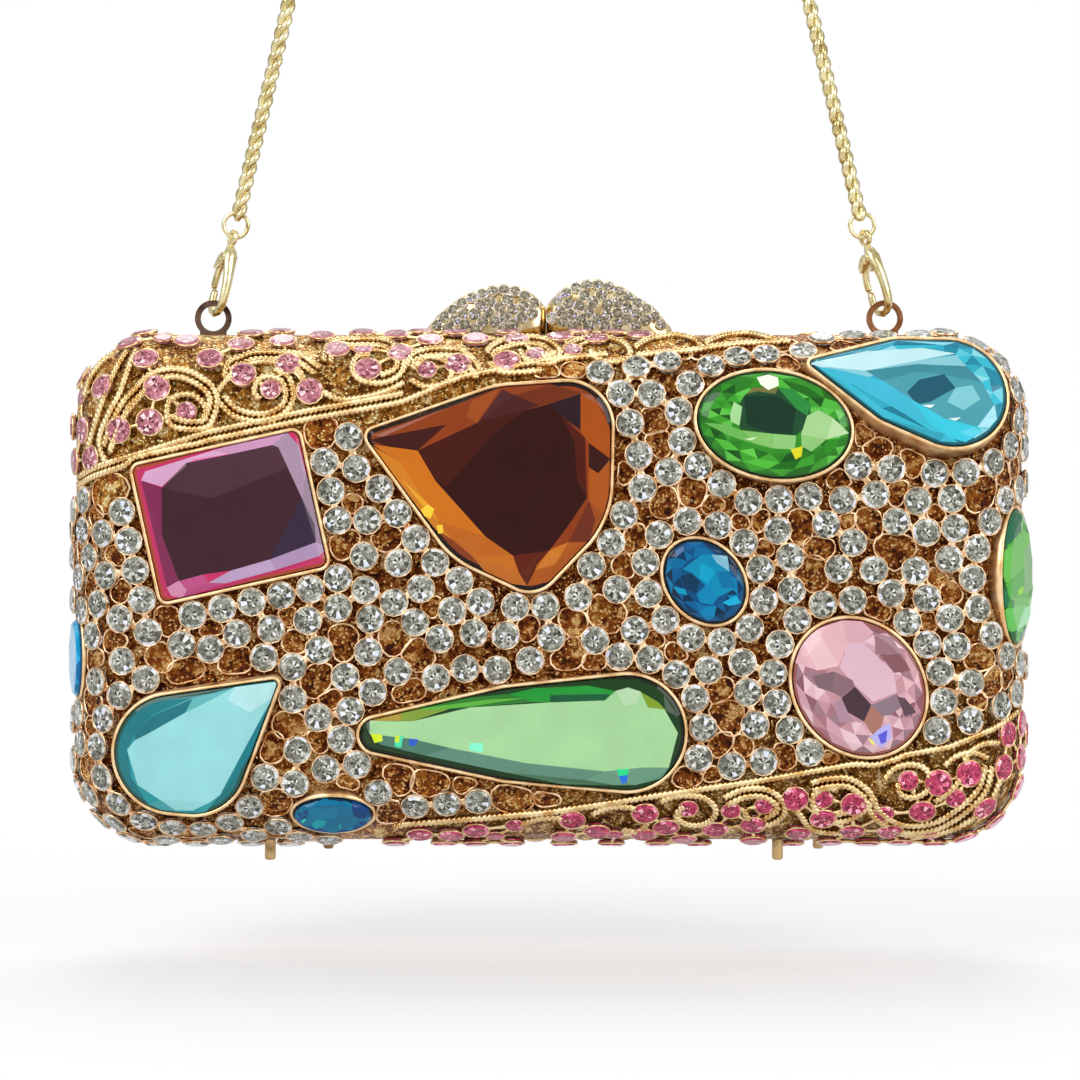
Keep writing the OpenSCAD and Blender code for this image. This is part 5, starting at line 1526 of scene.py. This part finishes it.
# The whites and pale violet at the top of this ramp are painted glints.
smoke_glass = brilliants("smoky_pave", (0.0, "302c22"), (0.32, "6a6452"), (0.6, "9a9078"),
                         (0.84, "d4ccb8"), (0.95, "ffffff"), (0.99, "ffffff"), (1.0, "b4a8ff"))
for side, half in ((1, "front"), (-1, "rear")):
    body = half + "_case"
    finished(half + "_clasp_lobe_cast", lobe(side), clasp_gold, body,
             [half + "_clasp_lobe"])
    stones, collars = bmesh.new(), bmesh.new()
    for p, n in pave(side):
        place = standing(p, n, rnd.uniform(0, math.pi), pave_size)
        stamp(stones, rnd.choice(stone_shapes), place)
        stamp(collars, cup_shape, place)
    finished(half + "_clasp_pave", stones, smoke_glass, body,
             [half + "_lobe_stones"])
    finished(half + "_clasp_collars", collars, clasp_gold, body)

# Stage and light
# The case hangs on its strap, 22 mm over a wide pale floor, which leaves room
# for the front half to open. Three large soft lamps and a white surround.
floor_drop, floor_half = 22, 3000
bm = bmesh.new()
bmesh.ops.create_grid(bm, x_segments=1, y_segments=1, size=floor_half)
bmesh.ops.translate(bm, vec=(0, 0, -floor_drop), verts=bm.verts)
floor_mesh = template(bm, "floor")
floor_mesh.transform(Matrix.Scale(MM, 4))
floor = bpy.data.objects.new("floor", floor_mesh)
bpy.context.scene.collection.objects.link(floor)
paper, tree, shader, place = new_material("white_paper", 0.0, 0.9)
fill(shader, {"Base Color": (0.86, 0.86, 0.86, 1)})
# The paper glows white in the view and in mirrors, but less so under the case,
# where its soft shadow stays.
rays = add_node(tree, "ShaderNodeLightPath").outputs
mirrored = maths(tree, "MAXIMUM", rays["Is Camera Ray"], rays["Is Glossy Ray"])
spread = add_node(tree, "ShaderNodeVectorMath", {0: place}, operation="LENGTH").outputs["Value"]
share = maths(tree, "MULTIPLY", mirrored, mapped(tree, spread, 0.05, 0.32, 0.45))
white = add_node(tree, "ShaderNodeEmission", {"Color": (1, 1, 1, 1), "Strength": 1.0})
mix = add_node(tree, "ShaderNodeMixShader", {"Fac": share, 1: shader.outputs["BSDF"],
                                             2: white.outputs["Emission"]})
fill(tree.nodes["Material Output"], {"Surface": mix.outputs["Shader"]})
floor_mesh.materials.append(paper)

lamps = [((-700, -900, 800), 700, 9.4), ((800, -700, 500), 600, 5.6), ((0, 500, 900), 700, 5.2)]
for i, (where, size, watts) in enumerate(lamps):
    lamp = bpy.data.lights.new("softbox_%d" % i, "AREA")
    lamp.size = size * MM
    lamp.energy = watts
    stand = bpy.data.objects.new("softbox_%d" % i, lamp)
    stand.location = Vector(where) * MM
    aim = Vector((0, 0, case_mid)) - Vector(where)
    stand.rotation_euler = aim.to_track_quat("-Z", "Y").to_euler()
    bpy.context.scene.collection.objects.link(stand)

world = bpy.data.worlds.new("studio")
bpy.context.scene.world = world
world.use_nodes = True
tree = world.node_tree
# The camera sees plain white round the case, and a dim grey sky lights it.
rays = add_node(tree, "ShaderNodeLightPath").outputs
direct = maths(tree, "MAXIMUM", rays["Is Camera Ray"], rays["Is Transmission Ray"])
plain = maths(tree, "MAXIMUM", direct, maths(tree, "MULTIPLY", rays["Is Glossy Ray"], 0.5))
upward = add_node(tree, "ShaderNodeTexCoord").outputs["Generated"]
height = add_node(tree, "ShaderNodeSeparateXYZ", {"Vector": upward}).outputs["Z"]
sky = ramp(tree, mapped(tree, height, -0.4, 0.9), [(0.1, "8c8a88"), (0.9, "f4f4f2")])
dim = fill(tree.nodes["Background"], {"Color": sky, "Strength": 0.53})
white = add_node(tree, "ShaderNodeBackground", {"Color": (1, 1, 1, 1), "Strength": 1.0})
mix = add_node(tree, "ShaderNodeMixShader", {"Fac": plain, 1: dim.outputs[0], 2: white.outputs[0]})
fill(tree.nodes["World Output"], {"Surface": mix.outputs[0]})

bpy.context.scene.view_settings.view_transform = "Standard"
